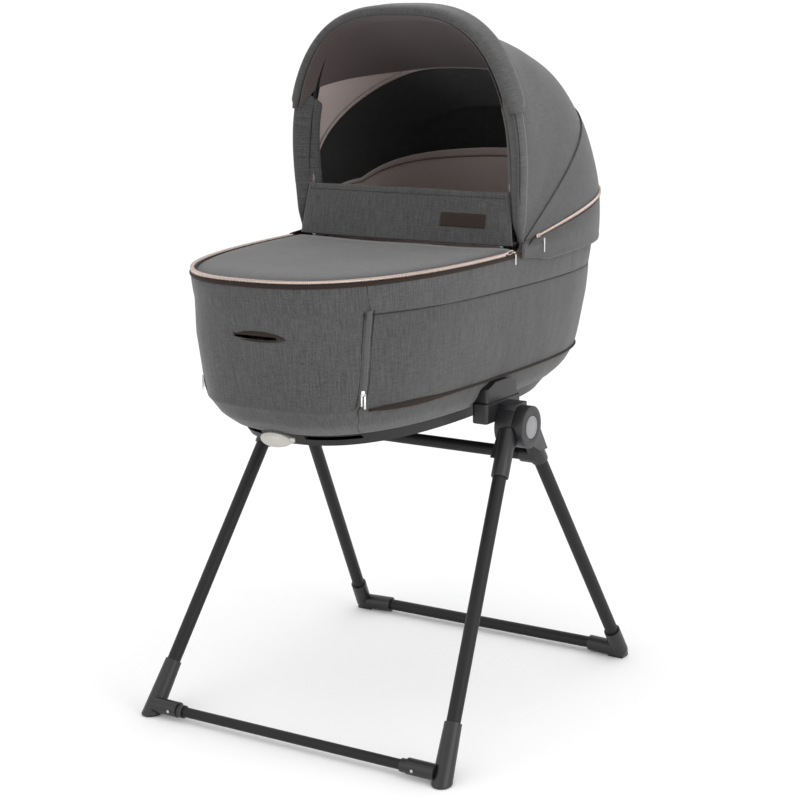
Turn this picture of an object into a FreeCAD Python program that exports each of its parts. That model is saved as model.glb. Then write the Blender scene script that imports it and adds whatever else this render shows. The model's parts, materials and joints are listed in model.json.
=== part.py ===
"""Bassinet on a folding stand, in millimetres.

+X is the right side, -Y is the foot end, +Z is up and the floor is z = 0.
Shapes are built about the stand's hub plane (y = 0) and moved by CENTRE_Y when they are
saved, so that the origin is on the floor under the middle of the whole object.
"""
import FreeCAD
import Part
import math
import os
from FreeCAD import Vector as V

os.makedirs("parts", exist_ok=True)

# ---- driving dimensions -------------------------------------------------------------
CENTRE_Y = -16.5          # hub plane to the middle of the object's length

# stand
TUBE_R = 11.0             # leg tube radius
TUBE_WALL = 1.5
BAR_R = 10.0              # rear floor bar and upper cross bar
FRONT_BAR_R = 8.0
HUB_Z = 473.0             # height of the folding pivot
APEX_X, APEX_Z = 213.0, 515.0          # where the leg centrelines meet
FRONT_FOOT = (271.0, -328.0)           # foot centre, x and y, on the floor
REAR_FOOT = (269.0, 321.0)
SOCKET_R = 14.0           # plastic sockets round the leg tubes
SOCKET_END_Z = 404.0
HUB_R = 34.0              # round hub housing and rear arm head
SEAT_X = (167.0, 195.0)   # adapter seat, inner and outer face
SEAT_HALF_Y = 57.0
SEAT_Z = (481.0, 513.0)
HEAD_X = (226.0, 244.0)   # rear arm head, inner and outer face
PIN_R = 6.0
CAP_R = 18.5
BOOT_TOP_Z = 78.0
CROSS_BAR = (62.0, 412.0)              # y and z of the upper cross bar
FRONT_BAR_Z = 17.0
REAR_BAR = (317.0, 14.5)               # y and z
RUN_FIT = 0.05            # radial clearance of a pin or a tube in its bore

# bassinet
TRAY_Z = 484.0
SKIN_Z = 505.0            # lower edge of the fabric
PIPING_Z = 548.0
RIM_Z = 746.0
RIM_SLOPE = 0.022         # the rim rises slightly towards the head
SKIN = 2.5                # fabric thickness
WALL = 4.0                # tub wall thickness
FLOOR_Z, FLOOR_TOP_Z = 508.0, 512.0
HANDLE_Z = 655.0          # height of the carry-handle slot
HANDLE_GAP = (43, 4)       # half length and half height of the slot in the fabric
CORNER_PULL_Z = 572.0      # height of its pull
RIM_PULL = (218.5, -18.0, 746.0)
HOOD_PULL = (218.5, 80.0, 762.0)
CORNER_ZIP_X = (142, 150)  # upright zip on the foot corner
HINGE_Y, HINGE_Z = -22.0, 517.0        # backrest hinge
MATTRESS_Y = (-330, 372)   # both pads together, foot and head end
MATTRESS_INSET = 16
BOARD_Z = (514, 520)       # backrest board under the head pad
LINING_Z = 548.0          # lower edge of the inner lining
LINING_GAP, LINING_THICK = 2.6, 1.1
MATTRESS_Z = (520.4, 554.4)
FLAP_Z = (755.5, 838.0)   # wind flap, lower and upper edge
FLAP_LEAN = 8.5           # how far its top leans to the head end
FLAP_HALF_X = (198, 184)  # its half width at the lower and upper edge

# hood, drawn in planes through its pivot axis
PIVOT_Y, PIVOT_Z = 32.0, 757.0
HOOD_HALF_X = 207.0
HOOD_FRONT_DEG, HOOD_MID_DEG, HOOD_ZIP_DEG = 94.0, 31.0, 9.0
HOOD_SPLIT_DEG = 60.0     # where the front panel laps inside the middle panel
HOOD_R_FRONT, HOOD_R_BACK = 370.0, 424.0
HOOD_POWER = 3.0
HOOD_START_R = 26.0       # the sheets stay this far from the pivot axis
HOOD_PIN_R = 4.0
BOW_THICK, BOW_WIDTH = 4.0, 10.0
CURTAIN_Z = 1030.0        # lower edge of the lining panel, at its middle
VISOR_DEG = (84.0, 97.0)
VISOR_FLARE = 14.0

# height, half width, foot end, head end, head power, foot power of the outer skin
SECTIONS = [
    (480.0, 146.0, -325.0, 344.0, 2.8, 2.7),
    (484.0, 148.0, -328.0, 348.0, 2.8, 2.7),
    (505.0, 157.0, -342.0, 388.0, 2.8, 2.8),
    (522.0, 171.0, -366.0, 408.0, 2.9, 2.9),
    (548.0, 182.0, -388.0, 428.0, 3.0, 3.1),
    (640.0, 200.0, -408.0, 448.0, 3.0, 2.9),
    (700.0, 209.0, -420.0, 458.0, 3.0, 2.7),
    (746.0, 217.0, -430.0, 463.0, 3.0, 2.6),
    (760.0, 217.0, -430.0, 463.0, 3.0, 2.6),
]
PLAN_POINTS = 48


# ---- helpers ------------------------------------------------------------------------
def save(name, shape):
    shape = shape.copy()
    shape.translate(V(0, CENTRE_Y, 0))
    shape.exportStep("parts/%s.step" % name)


def mirrored(shape):
    return shape.mirror(V(0, 0, 0), V(1, 0, 0))


def save_pair(name, right_shape):
    save(name + "_right", right_shape)
    save(name + "_left", mirrored(right_shape))


def box(x, y, z):
    """Box from three (low, high) pairs."""
    return Part.makeBox(x[1] - x[0], y[1] - y[0], z[1] - z[0], V(x[0], y[0], z[0]))


def rod(start, end, radius):
    along = end - start
    return Part.makeCylinder(radius, along.Length, start, along)


def tube(start, end, radius, wall):
    along = end - start
    along.normalize()
    bore = rod(start - along, end + along, radius - wall)
    return rod(start, end, radius).cut(bore)


def disc(x, radius, y=0.0, z=HUB_Z):
    """Disc across X between x[0] and x[1]."""
    return rod(V(x[0], y, z), V(x[1], y, z), radius)


def leg_point(foot, z):
    """Point on a right leg's centreline at height z."""
    down = (APEX_Z - z) / APEX_Z
    return V(APEX_X + (foot[0] - APEX_X) * down, foot[1] * down, z)


def prism_x(points, x):
    """Polygon of (y, z) points, extruded between x[0] and x[1]."""
    corners = [V(x[0], y, z) for y, z in points]
    face = Part.Face(Part.makePolygon(corners + corners[:1]))
    return face.extrude(V(x[1] - x[0], 0, 0))


# ---- bassinet body sections -----------------------------------------------------------
def section(z):
    """Plan outline values at height z, read between the two sections beside it."""
    for low, high in zip(SECTIONS, SECTIONS[1:]):
        if z <= high[0]:
            break
    f = (z - low[0]) / (high[0] - low[0])
    return [a + (b - a) * f for a, b in zip(low[1:], high[1:])]


def plan_wire(z, inset, slope=0.0):
    """Closed superellipse at height z, moved inwards by inset."""
    half, foot, head, head_power, foot_power = section(z)
    half -= inset
    middle = (foot + head) / 2
    reach = (head - foot) / 2 - inset
    points = []
    for i in range(PLAN_POINTS):
        t = 2 * math.pi * i / PLAN_POINTS
        c, s = math.cos(t), math.sin(t)
        power = 2.0 / (head_power if s > 0 else foot_power)
        x = half * math.copysign(abs(c) ** power, c)
        y = middle + reach * math.copysign(abs(s) ** power, s)
        points.append(V(x, y, z + slope * y))
    curve = Part.BSplineCurve()
    curve.interpolate(points, PeriodicFlag=True)
    return Part.Wire(curve.toShape())


def body_loft(low, high, inset, slope_high=0.0):
    """Solid of the bassinet's outline between two heights; its top may slope."""
    levels = [low] + [s[0] for s in SECTIONS if low < s[0] < high] + [high]
    wires = [plan_wire(z, inset, slope_high if z == high else 0.0) for z in levels]
    return Part.makeLoft(wires, True, True)


def body_ring(low, high, outer, inner, slope=0.0):
    """Wall of the outline between two insets, open above and below."""
    margin = 1.5
    return body_loft(low, high, outer, slope).cut(
        body_loft(low - margin, high + margin, inner, slope))


# ---- hood sections --------------------------------------------------------------------
def hood_radius(degrees):
    f = (HOOD_FRONT_DEG - degrees) / (HOOD_FRONT_DEG - HOOD_ZIP_DEG)
    return HOOD_R_FRONT + (HOOD_R_BACK - HOOD_R_FRONT) * f


def hood_arch(degrees, inset, flare=0.0, start_r=HOOD_START_R):
    """Open arch from the right pivot over to the left one, in the plane at this angle.

    Angles are measured up from the head end. flare widens the arch's upper part.
    """
    turn = math.radians(degrees)
    reach = hood_radius(degrees) - inset
    half = HOOD_HALF_X - inset
    first = math.asin((start_r / reach) ** (HOOD_POWER / 2))
    points = []
    steps = 24
    for i in range(steps + 1):
        t = first + (math.pi - 2 * first) * i / steps
        c, s = math.cos(t), math.sin(t)
        x = half * math.copysign(abs(c) ** (2 / HOOD_POWER), c)
        r = reach * abs(s) ** (2 / HOOD_POWER)
        grow = flare * min(1.0, max(0.0, (r / reach - 0.45) / 0.25))
        size = 1 + grow / reach
        x *= size
        r *= size
        points.append(V(x, PIVOT_Y + r * math.cos(turn), PIVOT_Z + r * math.sin(turn)))
    return points


def arch_wire(outer, inner):
    """Closed thin section between two arches."""
    over = Part.BSplineCurve()
    over.interpolate(outer)
    under = Part.BSplineCurve()
    under.interpolate(inner)
    ends = [Part.makeLine(outer[-1], inner[-1]), Part.makeLine(inner[0], outer[0])]
    return Part.Wire([over.toShape(), ends[0], under.toShape(), ends[1]])


def hood_shell(low_deg, high_deg, outer, inner, flare=0.0):
    """Curved sheet of the hood between two angles."""
    count = max(2, int(round((high_deg - low_deg) / 9.0)) + 1)
    wires = []
    for i in range(count):
        angle = low_deg + (high_deg - low_deg) * i / (count - 1)
        flared = flare * i / (count - 1)
        wires.append(arch_wire(hood_arch(angle, outer, flared), hood_arch(angle, inner, flared)))
    return Part.makeLoft(wires, True, False)


# ---- stand ------------------------------------------------------------------------------
def socket(foot, top_z, end_z):
    """Round socket along a leg's line, without its bore."""
    return rod(leg_point(foot, top_z), leg_point(foot, end_z), SOCKET_R)


def leg_bore(foot, top_z, end_z):
    return rod(leg_point(foot, top_z), leg_point(foot, end_z), TUBE_R + RUN_FIT)


def make_hub():
    """Housing between the adapter seat and the rear arm, with the front leg's socket."""
    housing_x = (SEAT_X[1], HEAD_X[0] - 0.5)
    housing = disc(housing_x, HUB_R)
    riser = box(housing_x, (-20, 20), (HUB_Z, SEAT_Z[1] - 3))
    sleeve = socket(FRONT_FOOT, 470, SOCKET_END_Z)
    sleeve = sleeve.cut(disc((housing_x[1], HEAD_X[1] + 4), HUB_R + 2))
    web = prism_x([(-16, HUB_Z - 30), (-33, HUB_Z + 2), (-64, 432), (-40, 428)], (204, housing_x[1]))
    body = housing.fuse([riser, sleeve, web])
    body = body.cut(leg_bore(FRONT_FOOT, 448, SOCKET_END_Z - 10))
    body = body.cut(disc((SEAT_X[1] - 1, HEAD_X[0] + 1), PIN_R + RUN_FIT))
    return body.removeSplitter()


def make_adapter():
    """Seat block with the slot that takes the bassinet's tongue."""
    block = box(SEAT_X, (-SEAT_HALF_Y, SEAT_HALF_Y), SEAT_Z)
    upright = [e for e in block.Edges if abs(e.tangentAt(e.FirstParameter).z) > 0.9]
    block = block.makeFillet(6, upright)
    under = [e for e in block.Edges if e.BoundBox.ZMax < SEAT_Z[0] + 0.1]
    block = block.makeFillet(3, under)
    slot = box((SEAT_X[0] + 7, SEAT_X[1] - 7), (-40, 40), (SEAT_Z[0] + 6, SEAT_Z[1] + 1))
    return block.cut(slot)


def make_pivot_pin():
    return disc((SEAT_X[1] + 0.5, HEAD_X[1] - 8), PIN_R)


def make_rear_arm():
    """Round head on the pivot pin, running down into the rear leg's socket."""
    head = disc(HEAD_X, HUB_R)
    sleeve = socket(REAR_FOOT, 452, SOCKET_END_Z)
    sleeve = sleeve.cut(disc((HEAD_X[0] - 30, HEAD_X[0]), HUB_R + 2))
    web_x = (HEAD_X[0], HEAD_X[1] - 6)
    web = prism_x([(10, HUB_Z - 31), (33, HUB_Z + 6), (72, 424), (46, 424)], web_x)
    boss = rod(V(196, *CROSS_BAR), V(224, *CROSS_BAR), BAR_R + 3)
    arm = head.fuse([sleeve, web, boss])
    arm = arm.cut(leg_bore(REAR_FOOT, 438, SOCKET_END_Z - 10))
    arm = arm.cut(rod(V(190, *CROSS_BAR), V(207, *CROSS_BAR), BAR_R + RUN_FIT))
    arm = arm.cut(disc((HEAD_X[0] - 1, HEAD_X[1] - 7), PIN_R + RUN_FIT))
    arm = arm.cut(disc((HEAD_X[1] - 7, HEAD_X[1] + 1), CAP_R + 0.5))
    return arm.removeSplitter()


def make_cap():
    """Push button in the rear arm's head: a shallow domed disc."""
    cap = disc((HEAD_X[1] - 3.4, HEAD_X[1] + 1.4), CAP_R)
    face = [e for e in cap.Edges if e.BoundBox.XMin > HEAD_X[1] + 1]
    return cap.makeFillet(1.2, face)


def make_leg(foot, top_z, end_z):
    return tube(leg_point(foot, top_z), leg_point(foot, end_z), TUBE_R, TUBE_WALL)


def boot_cone(margin):
    """Tapered outside of the boot, made larger by a margin."""
    start = leg_point(FRONT_FOOT, BOOT_TOP_Z)
    along = leg_point(FRONT_FOOT, -20) - start
    return Part.makeCone(SOCKET_R - 0.5 + margin, SOCKET_R + 2.5 + margin, along.Length,
                         start, along)


def make_boot():
    """Tapered cap over the front leg's end, cut flat on the floor."""
    body = boot_cone(0).cut(box((0, 400), (-500, 0), (-60, 0)))
    sole = [e for e in body.Edges if e.BoundBox.ZMax < 0.1]
    body = body.makeFillet(2.5, sole)
    return body.cut(leg_bore(FRONT_FOOT, BOOT_TOP_Z + 2, 14))


def make_front_connector():
    """Bracket from the front boot to the floor bar, with a stepped lower lip."""
    y, z = FRONT_FOOT[1], FRONT_BAR_Z
    arm = rod(V(262, y, z + 1), V(214, y, z + 1), 12.5)
    lip = rod(V(216, y, z), V(203, y, z), 10.5)
    arm = arm.fuse(lip)
    arm = arm.cut(boot_cone(0.2))
    arm = arm.cut(rod(V(190, y, z), V(238, y, z), FRONT_BAR_R + RUN_FIT))
    arm = arm.cut(rod(V(227, y, z), V(227, y - 20, z), 2.5 + RUN_FIT))
    pieces = sorted(arm.Solids, key=lambda s: s.Volume)
    return pieces[-1]


def make_elbow():
    """One-piece corner between the rear leg and the rear floor bar."""
    y, z = REAR_BAR
    upright = rod(leg_point(REAR_FOOT, 56), leg_point(REAR_FOOT, 13), SOCKET_R)
    ball = Part.makeSphere(SOCKET_R, leg_point(REAR_FOOT, 14))
    along = rod(leg_point(REAR_FOOT, 14.2), V(208, y, z), SOCKET_R - 0.4)
    body = upright.fuse([ball, along])
    body = body.cut(box((100, 400), (200, 400), (-60, 0.4)))
    sole = box((248, 276), (y - 12, y + 12), (0, 6))
    body = body.fuse(sole)
    body = body.cut(leg_bore(REAR_FOOT, 80, 32))
    body = body.cut(rod(V(190, y, z), V(244, y, z), BAR_R + RUN_FIT))
    return body.removeSplitter()


def bar(half, y, z, radius):
    return tube(V(-half, y, z), V(half, y, z), radius, TUBE_WALL)


def build_stand():
    save_pair("hub", make_hub())
    save_pair("adapter_seat", make_adapter())
    pin = make_pivot_pin()
    save("pivot_pins", Part.makeCompound([pin, mirrored(pin)]))
    save_pair("rear_arm", make_rear_arm())
    save_pair("fold_button", make_cap())
    save_pair("front_leg", make_leg(FRONT_FOOT, 446, 16))
    save_pair("rear_leg", make_leg(REAR_FOOT, 436, 34))
    save_pair("front_boot", make_boot())
    save_pair("bar_connector", make_front_connector())
    save_pair("rear_elbow", make_elbow())
    save("front_bar", bar(236, FRONT_FOOT[1], FRONT_BAR_Z, FRONT_BAR_R))
    save("rear_bar", bar(242, REAR_BAR[0], REAR_BAR[1], BAR_R))
    save("cross_bar", bar(206, CROSS_BAR[0], CROSS_BAR[1], BAR_R))
    rivets = []
    for x in (-227.0, 227.0):
        start = V(x, FRONT_FOOT[1] - FRONT_BAR_R - 0.1, FRONT_BAR_Z)
        rivets.append(rod(start, start + V(0, -5.2, 0), 2.5))
    save("bar_rivets", Part.makeCompound(rivets))


# ---- bassinet -----------------------------------------------------------------------------
def make_lug():
    """Block on the bassinet's side that stands on the adapter seat."""
    arch = prism_x([(-52, 0), (-52, 22), (-24, 31), (20, 31), (50, 22), (50, 0)], (150, 193))
    arch.translate(V(0, 0, SEAT_Z[1] + 0.6))
    front = [e for e in arch.Edges if abs(e.tangentAt(e.FirstParameter).z) > 0.9
             and e.BoundBox.XMin > 190]
    arch = arch.makeFillet(5, front)
    tongue = box((SEAT_X[0] + 8, SEAT_X[1] - 8), (-38, 38), (SEAT_Z[0] + 9, SEAT_Z[1] + 2))
    return arch.fuse(tongue).cut(body_loft(SKIN_Z, PIPING_Z + 12, -0.3)).removeSplitter()


def make_tray():
    """Moulded base: a shallow open pan with two vents in its foot edge and a shaft hole."""
    pan = body_loft(TRAY_Z, SKIN_Z - 0.4, 0.5)
    hollow = body_loft(TRAY_Z + 3, SKIN_Z + 4, 6)
    pan = pan.cut(hollow)
    ribs = []
    for y in (-200, -90, 20, 130, 240):
        ribs.append(box((-130, 130), (y - 1.5, y + 1.5), (TRAY_Z + 2.5, SKIN_Z - 3)))
    pan = pan.fuse(ribs)
    pan = pan.common(body_loft(TRAY_Z, SKIN_Z - 0.4, 0.5))
    for x in (-73, 73):
        pan = pan.cut(box((x - 34, x + 34), (-345, -250), (SKIN_Z - 11, SKIN_Z - 5)))
    pan = pan.cut(rod(V(0, -360, TRAY_Z + 11), V(0, -196, TRAY_Z + 11), 5 + RUN_FIT))
    return pan.removeSplitter()


def make_knob():
    """Oval pull knob on a shaft that slides in the tray."""
    z = TRAY_Z + 11
    grip = Part.makeSphere(13, V(0, 0, 0))
    stretch = FreeCAD.Matrix()
    stretch.scale(V(2.5, 0.9, 1.0))
    grip = grip.transformGeometry(stretch)
    grip.translate(V(0, -353, z))
    shaft = rod(V(0, -353, z), V(0, -190, z), 5)
    return grip.fuse(shaft)


def handle_gap(half_x, half_z):
    """Slot through the foot end, for the carrying hand."""
    return box((-half_x, half_x), (-460, -370), (HANDLE_Z - half_z, HANDLE_Z + half_z))


def make_side_panel():
    """Side fabric between the piping and the rim, with the carry-handle slot."""
    return body_ring(PIPING_Z + 3, RIM_Z - 6, 0, SKIN, RIM_SLOPE).cut(handle_gap(*HANDLE_GAP))


def make_handle_binding():
    """Raised oval binding round the carry-handle slot."""
    foot = section(HANDLE_Z)[1]
    outer = box((-47, 47), (foot - 1.6, foot + 16), (HANDLE_Z - 8, HANDLE_Z + 8))
    skin = body_loft(600, 700, -1.6).cut(body_loft(590, 710, -0.15))
    return outer.cut(handle_gap(*HANDLE_GAP)).common(skin)


def make_tub():
    """Stiff tub inside the fabric: its floor, and its wall cut for the handle slot."""
    outside = body_loft(SKIN_Z + 1, RIM_Z - 6, SKIN + 0.3, RIM_SLOPE)
    inside = body_loft(FLOOR_TOP_Z, RIM_Z + 6, SKIN + 0.3 + WALL)
    tub = outside.cut(inside)
    low = box((-300, 300), (-500, 500), (SKIN_Z, FLOOR_TOP_Z))
    return tub.common(low), tub.cut(low).cut(handle_gap(41, 4))


def make_lining():
    """Thin inner lining, clear of the wall."""
    outer = SKIN + WALL + LINING_GAP
    lining = body_ring(LINING_Z, RIM_Z - 12, outer, outer + LINING_THICK, RIM_SLOPE)
    return lining.cut(handle_gap(41, 4))


def floor_slab(y, z, inset):
    """Flat pad inside the tub between two y and two z values."""
    slab = body_loft(z[0], z[1], inset)
    return slab.common(box((-300, 300), y, (z[0] - 1, z[1] + 1)))


def make_corner_zip():
    """Upright zip on the foot corner: a narrow strip standing on the fabric."""
    strip = body_loft(PIPING_Z + 8, 702, -1.4).cut(body_loft(PIPING_Z - 4, 714, -0.2))
    return strip.common(box(CORNER_ZIP_X, (-400, -240), (PIPING_Z, 710)))


def tilted(shape):
    """Shape turned about X into the plane of the rim."""
    shape.rotate(V(0, 0, RIM_Z), V(1, 0, 0), math.degrees(math.atan(RIM_SLOPE)))
    return shape


def make_apron():
    """Crowned cover over the foot half, from the rim zip to the wind flap."""
    plate = tilted(body_loft(RIM_Z + 1.5, RIM_Z + 8.5, 10))
    return plate.common(box((-300, 300), (-500, 4), (700, 800)))


def make_flap():
    """Wind flap that stands up from the apron's head edge."""
    low, high = FLAP_Z
    wide, narrow = FLAP_HALF_X
    outline = [(-wide, low), (wide, low), (narrow, high), (-narrow, high)]
    lean = FLAP_LEAN / (high - low)
    corners = [V(x, 9 + (z - low) * lean, z) for x, z in outline]
    face = Part.Face(Part.makePolygon(corners + corners[:1]))
    return face.extrude(V(0, 5, -5 * lean))


def rim_ring(low, high, outer, inner):
    ring = body_loft(RIM_Z + low, RIM_Z + high, outer)
    return tilted(ring.cut(body_loft(RIM_Z + low - 2, RIM_Z + high + 2, inner)))


def foot_point(x, z):
    """Point on the foot end's outer skin at x and z, and the way out from it."""
    half, foot, head, head_power, power = section(z)
    reach = (head - foot) / 2
    s = (1 - abs(x / half) ** power) ** (1 / power)
    slope = V(abs(x / half) ** (power - 1) / half, -s ** (power - 1) / reach, 0)
    return V(x, (foot + head) / 2 - reach * s, z), slope.normalize()


def pull_tab(point, out):
    """Hanging zip pull: a small bar below its hinge point, standing off along out."""
    tab = box((-2.2, 2.2), (-0.8, 0.8), (-20, 1.5))
    tab.rotate(V(0, 0, 0), V(0, 0, 1), math.degrees(math.atan2(-out.x, out.y)))
    tab.translate(point + out * 3.2)
    return tab


def build_bassinet():
    save("base_tray", make_tray())
    save("recline_knob", make_knob())
    save_pair("lug", make_lug())
    floor, wall = make_tub()
    save("tub_floor", floor)
    save("tub_wall", wall)
    save("tub_lining", make_lining())
    save("lower_skirt", body_ring(SKIN_Z, PIPING_Z - 3, 0, SKIN))
    save("side_panel", make_side_panel())
    save("piping", body_ring(PIPING_Z - 2.7, PIPING_Z + 2.7, -2.5, SKIN))
    save("handle_binding", make_handle_binding())
    zip_right = make_corner_zip()
    save("corner_zips", Part.makeCompound([zip_right, mirrored(zip_right)]))
    save("rim_band", rim_ring(-5.6, 1.2, 0.5, 7.5))
    save("rim_zip", rim_ring(1.5, 5.0, 3.0, 9.5))
    save("apron_cover", make_apron())
    save("wind_flap", make_flap())
    save("mattress_foot", floor_slab((MATTRESS_Y[0], HINGE_Y - 6), MATTRESS_Z, MATTRESS_INSET))
    save("mattress_head", floor_slab((HINGE_Y + 18, MATTRESS_Y[1]), MATTRESS_Z, MATTRESS_INSET + 2))
    board = floor_slab((HINGE_Y + 8, MATTRESS_Y[1] - 6), BOARD_Z, MATTRESS_INSET + 6)
    knuckle = rod(V(-60, HINGE_Y, HINGE_Z), V(60, HINGE_Y, HINGE_Z), 4.2)
    leaf = box((-60, 60), (HINGE_Y, HINGE_Y + 12), (HINGE_Z - 1.5, HINGE_Z + 1.5))
    hinge_bore = rod(V(-70, HINGE_Y, HINGE_Z), V(70, HINGE_Y, HINGE_Z), 2 + RUN_FIT)
    save("backrest_board", board.fuse([knuckle, leaf]).cut(hinge_bore).removeSplitter())
    pin = rod(V(-75, HINGE_Y, HINGE_Z), V(75, HINGE_Y, HINGE_Z), 2)
    blocks = []
    for x in (-75, 63):
        blocks.append(box((x, x + 12), (HINGE_Y - 5, HINGE_Y + 5), (FLOOR_Z + 4.2, HINGE_Z + 4)))
    save("backrest_hinge", pin.fuse(blocks))


# ---- hood -----------------------------------------------------------------------------------
def bow(degrees, inset):
    """Flat strip arch with an eye at each end that turns on the hood's pivot pin."""
    turn = math.radians(degrees)
    across = V(0, -math.sin(turn), math.cos(turn))
    outer = hood_arch(degrees, inset, start_r=0.0)
    inner = hood_arch(degrees, inset + BOW_THICK, start_r=0.0)
    strip = Part.Face(arch_wire(outer, inner)).extrude(across * BOW_WIDTH)
    strip.translate(across * (-BOW_WIDTH / 2))
    face_x = HOOD_HALF_X - inset
    eyes = []
    for side in (-1, 1):
        ends = sorted((side * face_x, side * (face_x - BOW_THICK)))
        eyes.append(disc(ends, 12, PIVOT_Y, PIVOT_Z))
    bore = disc((-250, 250), HOOD_PIN_R + RUN_FIT, PIVOT_Y, PIVOT_Z)
    return strip.fuse(eyes).cut(bore).removeSplitter()


def make_hood_hinge():
    """Bracket on the tub's wall with the pin that both bows turn on."""
    plate = box((174, 180), (PIVOT_Y - 14, PIVOT_Y + 14), (712, PIVOT_Z + 12))
    foot = box((174, 200), (PIVOT_Y - 14, PIVOT_Y + 14), (709, 713))
    pin = disc((176, 197.5), HOOD_PIN_R, PIVOT_Y, PIVOT_Z)
    return plate.fuse([foot, pin]).removeSplitter()


def make_curtain():
    """Short lining panel that hangs inside the front bow, with a curved lower edge."""
    arch = hood_arch(HOOD_FRONT_DEG, 27, start_r=0.0)
    over = Part.BSplineCurve()
    over.interpolate(arch)
    whole = Part.Face(Part.Wire([over.toShape(), Part.makeLine(arch[-1], arch[0])]))
    turn = math.radians(HOOD_FRONT_DEG)
    sheet = whole.extrude(V(0, math.sin(turn), -math.cos(turn)) * 1.5)
    below = rod(V(0, -100, CURTAIN_Z - 420), V(0, 200, CURTAIN_Z - 420), 420)
    return sheet.cut(below).cut(box((-300, 300), (-100, 200), (600, CURTAIN_Z - 60)))


def build_hood():
    save("hood_bow_front", bow(HOOD_FRONT_DEG - 2, 12))
    save("hood_bow_middle", bow(HOOD_MID_DEG, 17))
    save_pair("hood_hinge", make_hood_hinge())
    save("hood_front_panel", hood_shell(HOOD_SPLIT_DEG, HOOD_FRONT_DEG, 8, 11))
    save("hood_middle_panel", hood_shell(HOOD_MID_DEG, HOOD_SPLIT_DEG + 2, 4, 7))
    save("hood_rear_panel", hood_shell(HOOD_ZIP_DEG + 1, HOOD_MID_DEG + 2, 0, 3))
    save("hood_zip", hood_shell(HOOD_ZIP_DEG - 0.3, HOOD_ZIP_DEG + 0.7, -1, 3))
    save("hood_skirt", hood_shell(2.0, HOOD_ZIP_DEG - 0.6, 0, 3))
    save("hood_lining", hood_shell(HOOD_ZIP_DEG, 25, 23, 24.5))
    save("mesh_window", hood_shell(25.3, 58, 23, 24.5))
    save("visor", hood_shell(VISOR_DEG[0], VISOR_DEG[1], -1, 2, VISOR_FLARE))
    save("visor_lining", make_curtain())


def build_pulls():
    """Four hanging zip pulls, each on its own pivot."""
    point, out = foot_point(sum(CORNER_ZIP_X) / 2, CORNER_PULL_Z)
    save_pair("corner_pull", pull_tab(point, out))
    save("rim_pull", pull_tab(V(*RIM_PULL), V(1, 0, 0)))
    save("hood_pull", pull_tab(V(*HOOD_PULL), V(1, 0, 0)))


build_stand()
build_bassinet()
build_hood()
build_pulls()
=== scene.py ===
"""Bassinet on a folding stand: its soft goods, trims, zips, hard parts and studio.

Shapes are worked out in millimetres about the stand's hub plane: +X right, -Y foot end,
+Z up. place() turns them into metres in the shared frame.
"""
import bisect
import functools
import json
import math

import bmesh
import bpy
from bpy.props import FloatProperty, FloatVectorProperty, PointerProperty
from mathutils import Matrix, Vector, noise


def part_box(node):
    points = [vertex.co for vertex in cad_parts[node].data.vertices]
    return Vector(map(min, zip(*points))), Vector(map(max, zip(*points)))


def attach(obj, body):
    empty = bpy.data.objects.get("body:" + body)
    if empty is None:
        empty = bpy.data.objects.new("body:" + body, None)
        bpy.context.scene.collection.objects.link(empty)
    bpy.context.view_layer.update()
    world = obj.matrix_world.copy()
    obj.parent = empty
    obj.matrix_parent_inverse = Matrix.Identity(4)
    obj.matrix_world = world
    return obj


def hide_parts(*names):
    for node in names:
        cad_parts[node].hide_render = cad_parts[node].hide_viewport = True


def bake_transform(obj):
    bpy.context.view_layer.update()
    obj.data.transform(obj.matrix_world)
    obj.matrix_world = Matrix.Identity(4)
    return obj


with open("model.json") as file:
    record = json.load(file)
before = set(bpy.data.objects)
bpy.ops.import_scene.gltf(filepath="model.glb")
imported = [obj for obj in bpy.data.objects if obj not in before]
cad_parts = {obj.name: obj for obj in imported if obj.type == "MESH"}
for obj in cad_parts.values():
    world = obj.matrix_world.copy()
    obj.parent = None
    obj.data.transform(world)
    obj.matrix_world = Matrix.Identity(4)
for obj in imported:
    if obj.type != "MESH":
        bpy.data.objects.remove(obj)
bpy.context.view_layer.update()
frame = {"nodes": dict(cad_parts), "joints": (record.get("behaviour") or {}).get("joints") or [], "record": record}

bl_info = {
    "name": "Bassinet on Stand",
    "version": (1, 0, 0),
    "blender": (4, 5, 0),
    "location": "View3D > Sidebar > Bassinet",
    "description": "Builds the visible pieces of a bassinet on a folding stand",
    "category": "Object",
}

# ---- places read from the frame ----
JOINTS = {joint["name"]: joint for joint in frame["joints"]}
HUB_Y = JOINTS["stand_fold"]["pos_m"][1]
PIVOT = Vector(JOINTS["hood_front_fold"]["pos_m"])
PIVOT_Y, PIVOT_Z = (PIVOT.y - HUB_Y) * 1000, PIVOT.z * 1000
FLAP_HINGE = Vector(JOINTS["wind_flap_fold"]["pos_m"])
KNOB_LOW, KNOB_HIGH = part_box("recline_knob")
PAD_LOW, PAD_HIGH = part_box("mattress_foot")
PAD_HEAD_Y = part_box("mattress_head")[1].y

# ---- shape of the bassinet ----
HEM_Z, PIPING_Z, SEAM_Z, RIM_Z = 505.0, 548.0, 690.0, 746.0
RIM_SLOPE = 0.022          # the rim rises towards the head
SLOT_Z, SLOT_X, SLOT_HALF_X, SLOT_HALF_Z = 656.0, 13.0, 43.0, 3.8
# upright zips on the foot corners: height and distance from the middle
CORNER_LINE = [(505.0, 112.0), (530.0, 128.0), (556.0, 138.0), (590.0, 144.0), (631.0, 149.0),
               (692.0, 153.5), (746.0, 155.0)]
RIM_END_Y = -40.0          # the rim zip's sliders are here
SKIRT_DROP = 21.0          # the hood's hem hangs this far below the rim
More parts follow.
